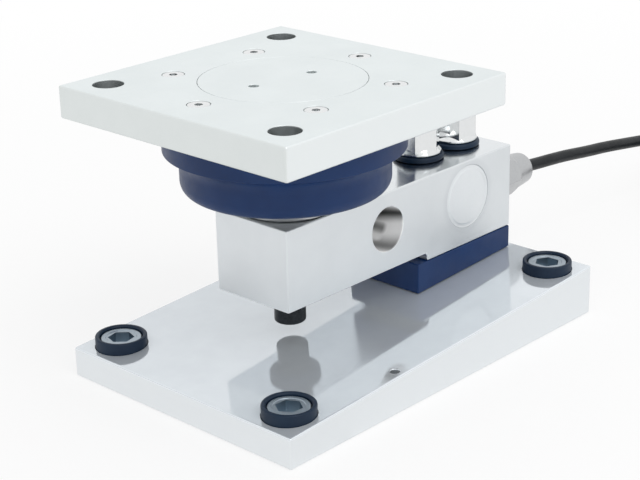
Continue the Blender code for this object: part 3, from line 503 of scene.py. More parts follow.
def hexagon(flats, turn, corner):
    """Hexagon with its flats facing X before it is turned, and rounded corners."""
    reach = flats / math.sqrt(3)
    angles = [turn + math.radians(30 + 60 * k) for k in range(6)]
    points = [(reach * math.cos(a), reach * math.sin(a), corner) for a in angles]
    return filleted(points, segments=3)


def anchor_cup(name, x, y, node):
    """Dark blue cup washer: floor under the screw head and a rounded wall that stands proud."""
    low = base_top(x) - 0.0057
    rim = base_top(x) + 0.0046
    profile = [(SCREW_HOLE_R, low), (0.01125, low, 0.0004), (0.01125, rim, 0.0008),
               (0.0098, rim, 0.0004), (0.0093, rim - 0.0008, 0.0003), (0.0093, low + 0.002),
               (SCREW_HOLE_R, low + 0.002)]
    return placed(lathe(name, profile, SEAL, at(x, y)), "frame", "blue_seal", node)


def anchor_screw(name, x, y, turn, node):
    """Low socket head: chamfered rim, slightly dished top and a deep hexagon socket."""
    seat = base_top(x) - 0.0034
    top = seat + 0.007
    profile = [(0, 0.0005), (0.006, 0.0005, 0.0008), (0.006, seat), (0.009, seat, 0.0004),
               (0.009, top, 0.0008), (0.0068, top, 0.0002), (0.0065, top - 0.0003, 0.0002),
               (0, top - 0.0003)]
    screw = lathe(name, profile, ANCHOR, at(x, y), 80)
    key = hexagon(0.010, turn, 0.0004)
    combine(screw, extruded("socket", key, top - 0.005, top + 0.005, None, at(x, y)))
    return placed(flat_faces_flat(screw), "frame", "bright_steel", node)


for number, (x, y) in enumerate(anchor_places, 1):
    anchor_cup(f"anchor_cup_{number}", x, y, f"base_seal_{number}")
    turn = math.radians(10 + 17 * number)
    anchor_screw(f"anchor_screw_{number}", x, y, turn, f"base_screw_{number}")

# Spacer. Solid dark blue plastic wedge, sawn and milled, that brings the beam level on the
# sloped base and is clamped under it by the two cell bolts.
BLUE = moulded("blue_plastic", (0.004, 0.030, 0.118), (0.003, 0.024, 0.098), 0.36, 0.46)
BEAM_HALF = 0.021
BEAM_END = 0.0955
BEAM_SEAT = 0.0345
SPACER_START = 0.0285
# The hair's breadth left between neighbours, so that no two faces coincide
PLAY = 0.0003
side_view = [(SPACER_START, base_top(SPACER_START) + PLAY), (BEAM_END, base_top(BEAM_END) + PLAY),
             (BEAM_END, BEAM_SEAT - PLAY), (SPACER_START, BEAM_SEAT - PLAY)]
spacer = extruded("spacer", side_view, -BEAM_HALF, BEAM_HALF, BLUE, UPRIGHT)
rounded_edges(spacer, 0.0006)
for x in CELL_BOLTS:
    bore(spacer, SCREW_HOLE_R, 0.0, 0.05, 0, at(x))
placed(flat_faces_flat(spacer), "frame", "blue_plastic", "spacer_block")

# Beam. Ground stainless bar with a pad under its fixed end. A milled round pocket on each
# side thins it where the gauges sit, and beside it a recess for the welded cover.


def satin_group():
    """Satin steel: cloudy brightness, dull patches and a fine pebbled skin."""
    group, vector, out = new_group("steel_skin", "Tone", "Dullness")
    group.links.new(noise(group, vector, 38, 4.0), out["Tone"])
    group.links.new(noise(group, vector, 110, 5.0, 0.65), out["Dullness"])
    fine = noise(group, vector, 2600, 2.0)
    height = math_node(group, "MULTIPLY_ADD", noise(group, vector, 700, 2.0), 0.7, fine)
    group.links.new(bump(group, height, 0.12, 0.00004), out["Normal"])
    return group


STEEL_SKIN = satin_group()


def soft_band(tree, value, centre, half_width):
    """One at a centre, easing to zero at a distance from it."""
    node = tree.nodes.new("ShaderNodeMapRange")
    node.interpolation_type = "SMOOTHSTEP"
    node.inputs["From Max"].default_value = half_width
    node.inputs["To Min"].default_value = 1.0
    node.inputs["To Max"].default_value = 0.0
    tree.links.new(offset_from(tree, value, centre), node.inputs["Value"])
    return node.outputs["Result"]


def pocket_shade(tree, place, from_x, from_z):
    """Painted shade and reflections on the milled walls of the gauge pockets, from 0 to 1 for how
    dark they are: dark bands by angle round the pocket's axis, which lean with depth, a dark spot
    on the floor, and a painted glint in the corner."""
    depth = math_node(tree, "SUBTRACT", BEAM_HALF, math_node(tree, "ABSOLUTE", place["Y"]))
    deep = ranged(tree, depth, 0, 1, 0.0085, 0.0110)
    angle = math_node(tree, "ARCTAN2", from_z, from_x)
    lean = math_node(tree, "MULTIPLY_ADD", depth, 26.6, angle)
    upper_wall = soft_band(tree, lean, math.radians(31), math.radians(34))
    lower_wall = soft_band(tree, lean, math.radians(-66), math.radians(48))
    lower_wall = math_node(tree, "MULTIPLY", lower_wall, 0.74)
    spot_x = math_node(tree, "SUBTRACT", from_x, 0.0076)
    spot_z = math_node(tree, "SUBTRACT", from_z, -0.0040)
    floor_spot = soft_band(tree, length_of(tree, spot_x, spot_z), 0.0, 0.0042)
    floor_spot = math_node(tree, "MULTIPLY", floor_spot, deep)
    glint = soft_band(tree, angle, math.radians(-55), math.radians(16))
    glint = math_node(tree, "MULTIPLY", glint, deep)
    dark = math_node(tree, "MAXIMUM", lower_wall, floor_spot)
    dark = math_node(tree, "MAXIMUM", upper_wall, dark)
    return math_node(tree, "MULTIPLY", dark, math_node(tree, "SUBTRACT", 1.0, glint))


def beam_steel():
    """The beam: satin sides, a little darker in a faint ring round the welded covers, a smoother
    top that dulls towards the boot, a smoother underside painted white as painted light, and
    painted shade and reflections in the milled gauge pockets."""
    made, tree, look, skin = new_material("beam_steel", 1.0, STEEL_SKIN)
    place = object_axes(tree)
    face = BEAM_FREE_UNDERSIDE
    low = ranged(tree, place["Z"], 1, 0, face + 0.0002, face + 0.0007)
    before_pad = math_node(tree, "LESS_THAN", place["X"], PAD_START - 0.0005)
    underside = math_node(tree, "MULTIPLY", low, before_pad)
    top = ranged(tree, place["Z"], 0, 1, BEAM_TOP - 0.0007, BEAM_TOP - 0.0002)
    from_x = math_node(tree, "SUBTRACT", place["X"], POCKET[0])
    from_z = math_node(tree, "SUBTRACT", place["Z"], POCKET[2])
    in_pocket = math_node(tree, "LESS_THAN", length_of(tree, from_x, from_z), POCKET_R + 0.0003)
    # Painted shade and reflections in the gauge pockets: white where the walls look lit, near
    # black where they look dark
    shade = pocket_shade(tree, place, from_x, from_z)
    pocket = mixed(tree, shade, (1.0, 1.0, 1.0), (0.015, 0.017, 0.015))
    # A faint darker ring on the beam round each cover
    cover_x = math_node(tree, "SUBTRACT", place["X"], COVER_PLACE[0])
    cover_z = math_node(tree, "SUBTRACT", place["Z"], COVER_PLACE[2])
    darker_ring = soft_band(tree, length_of(tree, cover_x, cover_z), 0.0156, 0.0032)
    darker_ring = math_node(tree, "MULTIPLY", darker_ring, 0.3)
    steel = mixed(tree, ranged(tree, skin["Tone"], 0, 1), (0.74, 0.77, 0.79), (0.77, 0.80, 0.82))
    steel = mixed(tree, darker_ring, steel, (0.60, 0.63, 0.66))
    # Painted light: the underside is coloured white to lighten it where it lies in shade
    steel = mixed(tree, underside, steel, (1.0, 1.0, 1.0))
    feed(tree, mixed(tree, in_pocket, steel, pocket), look["Base Color"])
    feed(tree, mixed(tree, in_pocket, 1.0, 0.15, "FLOAT"), look["Metallic"])
    worn = ranged(tree, place["X"], 0.55, 0.17, -0.050, -0.020)
    rough = mixed(tree, top, 0.48, worn, "FLOAT")
    rough = mixed(tree, underside, rough, 0.18, "FLOAT")
    rough = math_node(tree, "ADD", rough, ranged(tree, skin["Dullness"], -0.02, 0.03))
    feed(tree, mixed(tree, in_pocket, rough, 0.30, "FLOAT"), look["Roughness"])
    return made


LOAD_X = -0.0325
BEAM_TOP = 0.0745
BEAM_FREE_UNDERSIDE = 0.038
PAD_START = 0.035
POCKET = (0.0081, 0, 0.0574)
POCKET_R = 0.010
POCKET_FLOOR = 0.0045
COVER_PLACE = (0.0636, 0, 0.0574)
COVER_R = 0.0148
BEAM = beam_steel()


def along(axis, place):
    """Matrix that lays a turned piece's Z on an axis."""
    turn = Vector((0, 0, 1)).rotation_difference(Vector(axis)).to_matrix().to_4x4()
    return Matrix.Translation(place) @ turn


BEAM_START = -0.0545
GLAND_Z = 0.049
side_view = [(BEAM_START, BEAM_FREE_UNDERSIDE), (PAD_START - 0.0012, BEAM_FREE_UNDERSIDE),
             (PAD_START, BEAM_FREE_UNDERSIDE - 0.0012), (PAD_START, BEAM_SEAT),
             (BEAM_END, BEAM_SEAT), (BEAM_END, BEAM_TOP), (BEAM_START, BEAM_TOP)]
beam = extruded("beam", side_view, -BEAM_HALF, BEAM_HALF, BEAM, UPRIGHT)
rounded_edges(beam, 0.0007)
for facing in (-1, 1):
    aim = along((0, facing, 0), POCKET)
    bore(beam, POCKET_R, POCKET_FLOOR, BEAM_HALF, 0.0006, aim, 96, 0.0022)
    aim = along((0, facing, 0), COVER_PLACE)
    # The cover's recess, and the wiring pocket behind it
    bore(beam, COVER_R + 0.0001, 0.0190, BEAM_HALF, 0.0001, aim, 96)
    bore(beam, 0.012, 0.012, 0.0195, 0, aim, 96)
# The load bore: the collar's seat, the lower seat's room, and the way down to the plug
bore(beam, 0.0153, 0.0687, BEAM_TOP, 0.0005, at(LOAD_X), 96)
bore(beam, 0.012, 0.058, 0.0690, 0, at(LOAD_X), 96)
bore(beam, 0.0072, 0.0, 0.0585, 0, at(LOAD_X))
for x in CELL_BOLTS:
    bore(beam, SCREW_HOLE_R, 0.0, BEAM_TOP, 0.0004, at(x))
gland = along((1, 0, 0), (BEAM_END, 0, GLAND_Z))
bore(beam, 0.006, -0.0083, 0.0, 0.0004, gland, 48)
placed(flat_faces_flat(beam), "frame", "beam_steel", "load_cell_beam")

# Gauge covers. Two thin stainless discs, one each side, let into the beam over its wiring
# pocket and welded round by laser.
COVER = ground_steel("cover_steel", (0.81, 0.84, 0.86), (0.785, 0.815, 0.835), 0.44, 0.50)


def welded_cover(name, facing, node):
    """Thin disc with its laser weld as a narrow sunk ring near the rim."""
    inner = BEAM_HALF - 0.0017
    outer = BEAM_HALF - 0.00005
    sunk = outer - 0.00018
    profile = [(0, inner), (COVER_R, inner), (COVER_R, outer, 0.0001),
               (COVER_R - 0.0004, sunk, 0.0003), (COVER_R - 0.0014, sunk, 0.0003),
               (COVER_R - 0.0020, outer, 0.0003), (0, outer)]
    disc = lathe(name, profile, COVER, along((0, facing, 0), COVER_PLACE), 112, 50)
    return placed(flat_faces_flat(disc), "frame", "beam_steel", node)


welded_cover("cover_near", -1, "gauge_cover_near")
welded_cover("cover_far", 1, "gauge_cover_far")

# Cell bolts. Two polished hexagon bolts with flared collars and domed crowns, on dark blue
# sealing washers, that clamp beam and spacer to the base.
BRIGHT = ground_steel("bright_steel", (0.80, 0.815, 0.82), (0.74, 0.755, 0.76), 0.09, 0.15)


def cell_bolt(number, x, turn):
    """Sealed hexagon bolt: blue washer, flared collar, hexagon with a domed crown."""
    low = BEAM_TOP + PLAY
    high = low + 0.0024
    profile = [(SCREW_HOLE_R, low), (0.01175, low, 0.0006), (0.01175, high, 0.0011),
               (SCREW_HOLE_R, high)]
    washer = lathe(f"bolt_washer_{number}", profile, SEAL, at(x), 80)
    placed(washer, "frame", "blue_seal", f"cell_seal_{number}")
    seat = high + PLAY
    crown = seat + 0.0123
    profile = [(0, 0.005), (0.006, 0.005, 0.0006), (0.006, seat), (0.0106, seat, 0.0004),
               (0.0106, seat + 0.0010, 0.0004), (0.0094, seat + 0.0022, 0.0006),
               (0.0088, seat + 0.0030), (0.0088, crown - 0.0005, 0.0005), (0, crown - 0.0005)]
    bolt = lathe(f"bolt_{number}", profile, BRIGHT, at(x), 80)
    flats = hexagon(0.018, turn, 0.0003)
    head = extruded("bolt_head", flats, seat + 0.0012, crown + 0.0018, BRIGHT, at(x))
    profile = [(0, seat), (0.0108, seat), (0.0108, crown - 0.0012, 0.001),
               (0.0080, crown + 0.0012, 0.0012), (0.0048, crown + 0.0018, 0.001),
               (0, crown + 0.0018)]
    combine(head, lathe("crown", profile, BRIGHT, at(x)), "INTERSECT")
    combine(bolt, head, "UNION")
    placed(flat_faces_flat(bolt), "frame", "bright_steel", f"cell_bolt_{number}")


cell_bolt(1, CELL_BOLTS[0], math.radians(2))
cell_bolt(2, CELL_BOLTS[1], math.radians(22))

# Gland. Turned steel: a hexagon body screwed into the beam's end, a clamping nut with a
# rounded nose, and the rubber that grips the cable inside them.
GLAND = ground_steel("gland_steel", (0.52, 0.53, 0.54), (0.46, 0.47, 0.48), 0.28, 0.38)
RUBBER = moulded("black_rubber", (0.020, 0.020, 0.022), (0.012, 0.012, 0.014), 0.55, 0.75)


def dressed(node, material):
    """Give a CAD node that keeps its own shape a better material."""
    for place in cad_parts[node].material_slots:
        place.material = material


profile = [(0, -0.008), (0.0057, -0.008, 0.0005), (0.0057, 0.0013), (0.0062, 0.0013),
           (0.0062, 0.0203, 0.0005), (0, 0.0203)]
body = lathe("gland_hex", profile, GLAND, gland, 64)
head = extruded("gland_head", hexagon(0.018, 0, 0.0004), 0.0003, 0.0083, GLAND, gland)
profile = [(0, -0.001), (0.0095, -0.001), (0.0095, 0.0003), (0.0105, 0.0012), (0.0105, 0.0074),
           (0.0096, 0.0084), (0, 0.0084)]
combine(head, lathe("chamfer", profile, GLAND, gland, 72), "INTERSECT")
combine(body, head, "UNION")
# The cable's way, wider in front for the rubber
bore(body, 0.0036, -0.03, 0.0125, 0, gland, 48)
bore(body, 0.0052, 0.0123, 0.0203, 0, gland, 48)
placed(flat_faces_flat(body), "frame", "bright_steel", "gland_body")
profile = [(0, 0.0220), (0.0088, 0.0220), (0.0088, 0.0262, 0.0008), (0.0083, 0.0310, 0.003),
           (0.0075, 0.0371, 0.0014), (0, 0.0371)]
nut = lathe("gland_cap", profile, GLAND, gland, 72)
head = extruded("nut_head", hexagon(0.018, math.radians(4), 0.0004), 0.0086, 0.0256, GLAND, gland)
profile = [(0, 0.008), (0.0096, 0.008), (0.0105, 0.0094), (0.0105, 0.0226),
           (0.0090, 0.0257), (0, 0.0257)]
combine(head, lathe("chamfer", profile, GLAND, gland, 72), "INTERSECT")
combine(nut, head, "UNION")
# The thread, the rubber's room, and the mouth that the cable leaves by
bore(nut, 0.0065, 0.0, 0.0206, 0, gland, 48)
bore(nut, 0.0052, 0.0204, 0.0344, 0, gland, 48)
bore(nut, 0.0036, 0.0340, 0.0371, 0.0003, gland, 48)
placed(flat_faces_flat(nut), "frame", "bright_steel", "gland_nut")
dressed("gland_seal", RUBBER)

# Bore plug. Blackened stub with a small hexagon socket in its end, that closes the load
# bore from below, and the blue ring that seals it against the beam.
BLACKED = ground_steel("black_steel", (0.045, 0.05, 0.055), (0.02, 0.022, 0.025), 0.30, 0.42)
profile = [(0, 0.0225), (0.0069, 0.0225, 0.0009), (0.0069, 0.0577, 0.0003), (0, 0.0577)]
plug = lathe("plug", profile, BLACKED, at(LOAD_X), 72)
combine(plug, extruded("socket", hexagon(0.006, 0, 0.0003), 0.0125, 0.0285, None, at(LOAD_X)))
placed(flat_faces_flat(plug), "frame", "black_steel", "bore_plug")
profile = [(0.0072, 0.0347), (0.01125, 0.0347, 0.0014), (0.01125, 0.0377, 0.0005),
           (0.0072, 0.0377)]
plug_seal = lathe("plug_ring_seal", profile, SEAL, at(LOAD_X), 80)
placed(plug_seal, "frame", "blue_seal", "plug_seal")

# Cable. Three metres of 6 mm sensor cable, stiff enough to leave its gland in a long
# shallow droop. What the photograph doesn't show lies in a tied coil beside the base.
JACKET = moulded("cable_jacket", (0.012, 0.014, 0.017), (0.008, 0.010, 0.012), 0.36, 0.50, 0.22)
CABLE_R = 0.003
TAIL_Y = -0.088
CONNECTOR_Z = 0.0073
# The coil has four rows of three turns. Its strand moves from one turn to the next three
# times a row, at these degrees after the row's start and over these degrees.
COIL_CENTRE = (0.310, -0.044)
SLOT_RADII = (0.032, 0.038, 0.044)
SLOT_HEIGHTS = (0.0043, 0.0103, 0.0163, 0.0223)
ON_COIL = 0.0286
LAY_START = -12
ROW_TURN = 1012
MOVE_STARTS = np.array([0, 306, 666])
MOVE_WIDTHS = (80, 120, 120)


def wound_path():
    """The coil's turns, clockwise from above, as points on one helix.

    The strand lies on the coil's outer turn, drops into the top row and fills the rows
    inwards and outwards in turn. Each move to a new radius and height starts at a clockwise
    angle and blends over its width by 0.5 - 0.5 cos(pi s). At clockwise angle f the point is
    centre + (r cos f, -r sin f)."""
    spots = [(SLOT_RADII[-1], ON_COIL)]
    for row, height in enumerate(reversed(SLOT_HEIGHTS)):
        radii = SLOT_RADII[::-1] if row % 2 == 0 else SLOT_RADII
        spots += [(radius, height) for radius in radii]
    spots = np.array(spots)
    first = LAY_START + ROW_TURN * np.arange(len(SLOT_HEIGHTS))[:, None]
    starts = (first + MOVE_STARTS).ravel()
    widths = np.tile(MOVE_WIDTHS, len(SLOT_HEIGHTS))
    f = np.arange(-90, 4051, 12.0)
    move = np.searchsorted(starts, np.maximum(f, LAY_START), side="right") - 1
    s = 0.5 - 0.5 * np.cos(np.pi * np.clip((f - starts[move]) / widths[move], 0, 1))
    radius, height = (spots[move] + s[:, None] * (spots[move + 1] - spots[move])).T
    x = COIL_CENTRE[0] + radius * np.cos(np.radians(f))
    y = COIL_CENTRE[1] - radius * np.sin(np.radians(f))
    return np.column_stack([x, y, height])


def smooth_route(points, spacing):
    """Even points on a Catmull-Rom curve: with a, b, c, d in a row, the stretch from b to c is
    0.5 (2b + (c - a) t + (2a - 5b + 4c - d) t^2 + (3b - a - 3c + d) t^3)."""
    p = np.vstack([2 * points[0] - points[1], points, 2 * points[-1] - points[-2]])[:, None]
    a, b, c, d = p[:-3], p[1:-2], p[2:-1], p[3:]
    t = np.linspace(0, 1, 12, endpoint=False)[:, None]
    square = (2 * a - 5 * b + 4 * c - d) * t ** 2
    cube = (3 * b - a - 3 * c + d) * t ** 3
    fine = 0.5 * (2 * b + (c - a) * t + square + cube)
    fine = np.vstack([fine.reshape(-1, 3), points[-1:]])
    run = np.concatenate([[0], np.cumsum(np.linalg.norm(np.diff(fine, axis=0), axis=1))])
    spots = np.linspace(0, run[-1], int(round(run[-1] / spacing)) + 1)
    return np.column_stack([np.interp(spots, run, fine[:, k]) for k in range(3)]), run[-1]


# From the gland down to the coil, and from the coil's lowest row to the connector
exit_point = (0.1180, 0.0, GLAND_Z)
route = [exit_point, (0.1329, 0, GLAND_Z), (0.1409, 0, 0.0481), (0.1488, 0, 0.0474),
         (0.1573, 0, 0.0467), (0.166, 0, 0.0459), (0.1748, 0, 0.0449), (0.1838, 0, 0.0437),
         (0.1929, 0, 0.0426), (0.2021, 0, 0.0416), (0.2115, 0, 0.0404), (0.2205, 0, 0.0391),
         (0.2289, 0, 0.0379), (0.2449, 0, 0.0355), (0.2599, 0, 0.0329), (0.2729, 0, 0.0307),
         (0.2849, 0, 0.0292), (0.2969, 0, ON_COIL)]
tail = [(0.2980, TAIL_Y, 0.0043), (0.2870, TAIL_Y, 0.0043), (0.2749, TAIL_Y, 0.0045),
        (0.2629, TAIL_Y, 0.0057), (0.2548, TAIL_Y, 0.0069), (0.2460, TAIL_Y, CONNECTOR_Z)]
cable_points, cable_length = smooth_route(np.vstack([route, wound_path(), tail]), 0.0045)
curve = bpy.data.curves.new("cable", "CURVE")
curve.dimensions = "3D"
curve.bevel_depth = CABLE_R
curve.bevel_resolution = 4
curve.use_fill_caps = True
strand = curve.splines.new("POLY")
strand.points.add(len(cable_points) - 1)
strand.points.foreach_set("co", np.hstack([cable_points, np.ones((len(cable_points), 1))]).ravel())
strand.use_smooth = True
curve.materials.append(JACKET)
cable = bpy.data.objects.new("sensor_cable", curve)
scene.collection.objects.link(cable)
placed(cable, "frame", "cable_jacket", "cable", "cable_coil", "cable_tail")

# Ties. Two straps of black plastic, each passed once round the wound bundle where its
# turns lie side by side, keep the coil together.
PLASTIC = moulded("black_plastic", (0.022, 0.022, 0.024), (0.014, 0.014, 0.016), 0.35, 0.50)
BUNDLE = (0.0290, 0.0470, 0.0253)


def coil_tie(name, turn, node):
    """A strap round the coil's section, in the upright plane through the coil's axis."""
    low_r, high_r, high_z = BUNDLE
    inner = [(low_r - 0.0005, 0.0010, 0.003), (high_r + 0.0003, 0.0010, 0.003),
             (high_r + 0.0003, high_z + 0.0003, 0.003), (low_r - 0.0005, high_z + 0.0003, 0.003)]
    outer = [(low_r - 0.0015, 0.0, 0.004), (high_r + 0.0013, 0.0, 0.004),
             (high_r + 0.0013, high_z + 0.0013, 0.004), (low_r - 0.0015, high_z + 0.0013, 0.004)]
    upright = Matrix.Translation((*COIL_CENTRE, 0)) @ Matrix.Rotation(turn, 4, "Z") @ UPRIGHT
    strap = extruded(name, filleted(outer), -0.003, 0.003, PLASTIC, upright)
    combine(strap, extruded("tie_inside", filleted(inner), -0.01, 0.01, None, upright))
    return placed(strap, "frame", "black_plastic", node)


ties = [coil_tie("tie_one", math.radians(-60), "coil_tie_1"),
        coil_tie("tie_two", math.pi, "coil_tie_2")]

# Connector. A round plug for a 12 mm thread: moulded body with grip flutes, knurled steel
# ring and a contact insert. It lies on the floor at the end of the cable.
CONNECTOR_REAR = 0.2465
lay_back = along((-1, 0, 0), (CONNECTOR_REAR, TAIL_Y, CONNECTOR_Z))
body_end = 0.035
ring_start = body_end - 0.00405
ring_end = ring_start + 0.0135


def fluted(name, profile, steps, count, depth, low, high, material):
    """Turned piece with flutes: between heights low and high the radius drops by
    depth * max(0, cos(count a))^0.6 at angle a."""
    verts, faces = spun(profile, steps)
    x, y, z = verts.T
    r = np.hypot(x, y)
    grooved = (z > low) & (z < high) & (r > 0.005)
    drop = grooved * depth * np.maximum(0.0, np.cos(count * np.arctan2(y, x))) ** 0.6
    shrink = 1 - drop / np.maximum(r, 1e-9)
    verts = np.column_stack([x * shrink, y * shrink, z])
    return outward(add_mesh(name, moved(verts, lay_back), faces, material))


profile = [(0, 0), (0.0043, 0, 0.0006), (0.0049, 0.0045, 0.001), (0.0065, 0.009, 0.002),
           (0.0065, 0.012), (0.0065, 0.024), (0.0065, ring_start - PLAY, 0.0004),
           (0.0057, ring_start - PLAY), (0.0057, body_end), (0, body_end)]
plug_body = fluted("plug_body", profile, 96, 8, 0.0006, 0.0115, 0.0245, PLASTIC)
placed(plug_body, "frame", "black_plastic", "connector_body")
profile = [(0.0060, ring_start, 0.0002), (0.0073, ring_start, 0.0004),
           (0.0073, ring_start + 0.0030), (0.0073, ring_end - 0.0020),
           (0.0073, ring_end, 0.0004), (0.0060, ring_end, 0.0002)]
knurl = (ring_start + 0.0012, ring_end - 0.0012)
plug_ring = fluted("plug_ring", profile, 144, 36, 0.0003, *knurl, BRIGHT)
placed(plug_ring, "frame", "bright_steel", "connector_ring")
insert_end = ring_end + 0.001
profile = [(0, body_end + PLAY), (0.0045, body_end + PLAY), (0.0045, insert_end, 0.0003),
           (0, insert_end)]
plug_insert = lathe("plug_insert", profile, PLASTIC, lay_back, 48)
for k in range(4):
    a = math.pi / 2 * k + math.pi / 4
    socket = lay_back @ at(0.0025 * math.cos(a), 0.0025 * math.sin(a))
    bore(plug_insert, 0.0006, insert_end - 0.004, insert_end, 0.0002, socket, 20)
placed(plug_insert, "frame", "black_plastic", "connector_insert")

# Checking pieces. The turned collar is screwed into the beam; the ring and its split lower
# half hang from the load cup and close round the collar's lip, so the plate can't lift off.
SCREW = ground_steel("screw_steel", (0.40, 0.47, 0.53), (0.34, 0.40, 0.46), 0.28, 0.38)
profile = [(0.011, 0.069, 0.0004), (0.015, 0.069, 0.0006), (0.015, 0.0748),
           (0.0205, 0.0748, 0.0005), (0.0205, 0.079, 0.0008), (0.0145, 0.079, 0.001),
           (0.0145, 0.092, 0.001), (0.0205, 0.092, 0.0005), (0.0205, 0.097, 0.0008),
           (0.011, 0.097, 0.0006)]
collar = lathe("collar", profile, GLAND, at(LOAD_X))
placed(collar, "frame", "bright_steel", "check_collar")
profile = [(0.0243, 0.090, 0.0004), (0.0295, 0.090, 0.0006), (0.0295, 0.1157, 0.0008),
           (0.0203, 0.1157, 0.0004), (0.0203, 0.1097, 0.0004), (0.0243, 0.1097, 0.0008)]
ring = lathe("checking_ring", profile, BRIGHT, at(LOAD_X))
placed(ring, "platform", "bright_steel", "check_ring")
for node in ("lift_ring_left", "lift_ring_right"):
    dressed(node, BRIGHT)
for number in range(1, 5):
    dressed(f"lift_ring_screw_{number}", SCREW)

# Rocker pin. Hardened and ground, with its two hardened seats and their rubber O-rings, all
# shut inside the cup and the collar. It leans as the plate sways and rolls it back.
HARD = ground_steel("hard_steel", (0.62, 0.62, 0.63), (0.52, 0.52, 0.53), 0.12, 0.22)
for node in ("rocker_pin", "lower_bearing", "upper_bearing"):
    dressed(node, HARD)
for node in ("lower_o_ring", "upper_o_ring"):
    dressed(node, RUBBER)

# Top plate. Satin stainless plate with a bore for the load cup, four through holes for the
# silo's foot, and six countersinks for the screws that hold the boot.


def plate_steel():
    """The top plate's satin steel, with painted light on its long side, painted shade on its end,
    and painted shade on the walls of its four through holes."""
    made = toned("plate_steel", 1.0, STEEL_SKIN, *SATIN_LOOK)
    tree = made.node_tree
    place = object_axes(tree)
    along_x = offset_from(tree, offset_from(tree, place["X"], LOAD_X), HOLES_FROM_CENTRE)
    along_y = offset_from(tree, math_node(tree, "ABSOLUTE", place["Y"]), HOLES_FROM_CENTRE)
    on_wall = math_node(tree, "LESS_THAN", length_of(tree, along_x, along_y), HOLE_R + 0.0001)
    # Painted light on the side that faces -Y and painted shade on the end that faces -X
    for axis, face, colour in (("Y", -PLATE_HALF, (0.84, 0.875, 0.88)),
                               ("X", LOAD_X - PLATE_HALF, (0.755, 0.79, 0.785))):
        tinted(made, ranged(tree, place[axis], 1, 0, face + 0.0002, face + 0.0007), colour)
    # Painted shade on the walls of the four through holes
    tinted(made, on_wall, (0.42, 0.445, 0.45))
    return made


HOLES_FROM_CENTRE = 0.0505
HOLE_R = 0.0065
PLATE_HALF = 0.065
SATIN_LOOK = ((0.81, 0.855, 0.86), (0.785, 0.83, 0.835), 0.42, 0.50)
SATIN = toned("satin_steel", 1.0, STEEL_SKIN, *SATIN_LOOK)
PLATE_STEEL = plate_steel()
PLATE_BOTTOM = 0.116
PLATE_TOP = 0.130
SCREW_CIRCLE_R = 0.0471
square = np.array([(-1, -1), (1, -1), (1, 1), (-1, 1)])
plate = extruded("plate", PLATE_HALF * square, PLATE_BOTTOM, PLATE_TOP, PLATE_STEEL, at(LOAD_X))
rounded_edges(plate, 0.0009)
bore(plate, 0.0353, PLATE_BOTTOM - 0.01, PLATE_TOP, 0.0001, at(LOAD_X), 128)
for x, y in HOLES_FROM_CENTRE * square:
    bore(plate, HOLE_R, PLATE_BOTTOM - 0.01, PLATE_TOP, 0.0005, at(LOAD_X + x, y))
screw_angles = [math.radians(60 * k) for k in range(6)]
screw_places = [(LOAD_X + SCREW_CIRCLE_R * math.cos(a), SCREW_CIRCLE_R * math.sin(a))
                for a in screw_angles]
for x, y in screw_places:
    profile = [(0, PLATE_BOTTOM - 0.01), (0.0028, PLATE_BOTTOM - 0.01),
               (0.0028, PLATE_TOP - 0.0028), (0.0049, PLATE_TOP - 0.0007),
               (0.0049, PLATE_TOP - 0.0002), (0.0051, PLATE_TOP), (0.0051, PLATE_TOP + 0.01),
               (0, PLATE_TOP + 0.01)]
    combine(plate, lathe("countersink", profile, None, at(x, y), 48))
placed(flat_faces_flat(plate), "platform", "satin_steel", "top_plate")

# Boot screws. Six small countersunk socket screws of bright steel, sunk just below the
# plate's face, that run down through the boot's flange.
for number, (x, y) in enumerate(screw_places, 1):
    head = PLATE_TOP - 0.0002
    profile = [(0, 0.1058), (0.0025, 0.1058, 0.0003), (0.0025, head - 0.0023),
               (0.0046, head - 0.0002, 0.0001), (0.0046, head, 0.0001), (0, head)]
    screw = lathe(f"flush_screw_{number}", profile, BRIGHT, at(x, y), 48)
    key = hexagon(0.0032, math.radians(37 * number), 0.0001)
    combine(screw, extruded("socket", key, head - 0.0016, head + 0.005, None, at(x, y)))
    placed(flat_faces_flat(screw), "platform", "bright_steel", f"boot_screw_{number}")

# Load cup. Round satin steel cup screwed flush into the plate with a pin spanner in its two
# small holes; its hub below holds the upper seat.
profile = [(0, 0.103), (0.020, 0.103, 0.0006), (0.020, PLATE_BOTTOM),
           (0.0351, PLATE_BOTTOM, 0.0003), (0.0351, PLATE_TOP, 0.0001), (0, PLATE_TOP)]
cup = lathe("cup", profile, SATIN, at(LOAD_X), 128)
bore(cup, 0.012, 0.09, 0.114, 0, at(LOAD_X))
SPANNER_CIRCLE_R = 0.0152
for turn in (math.radians(-7), math.radians(173)):
    x = LOAD_X + SPANNER_CIRCLE_R * math.cos(turn)
    y = SPANNER_CIRCLE_R * math.sin(turn)
    bore(cup, 0.0022, PLATE_TOP - 0.006, PLATE_TOP, 0.0003, at(x, y), 40)
placed(flat_faces_flat(cup), "platform", "satin_steel", "load_cup")

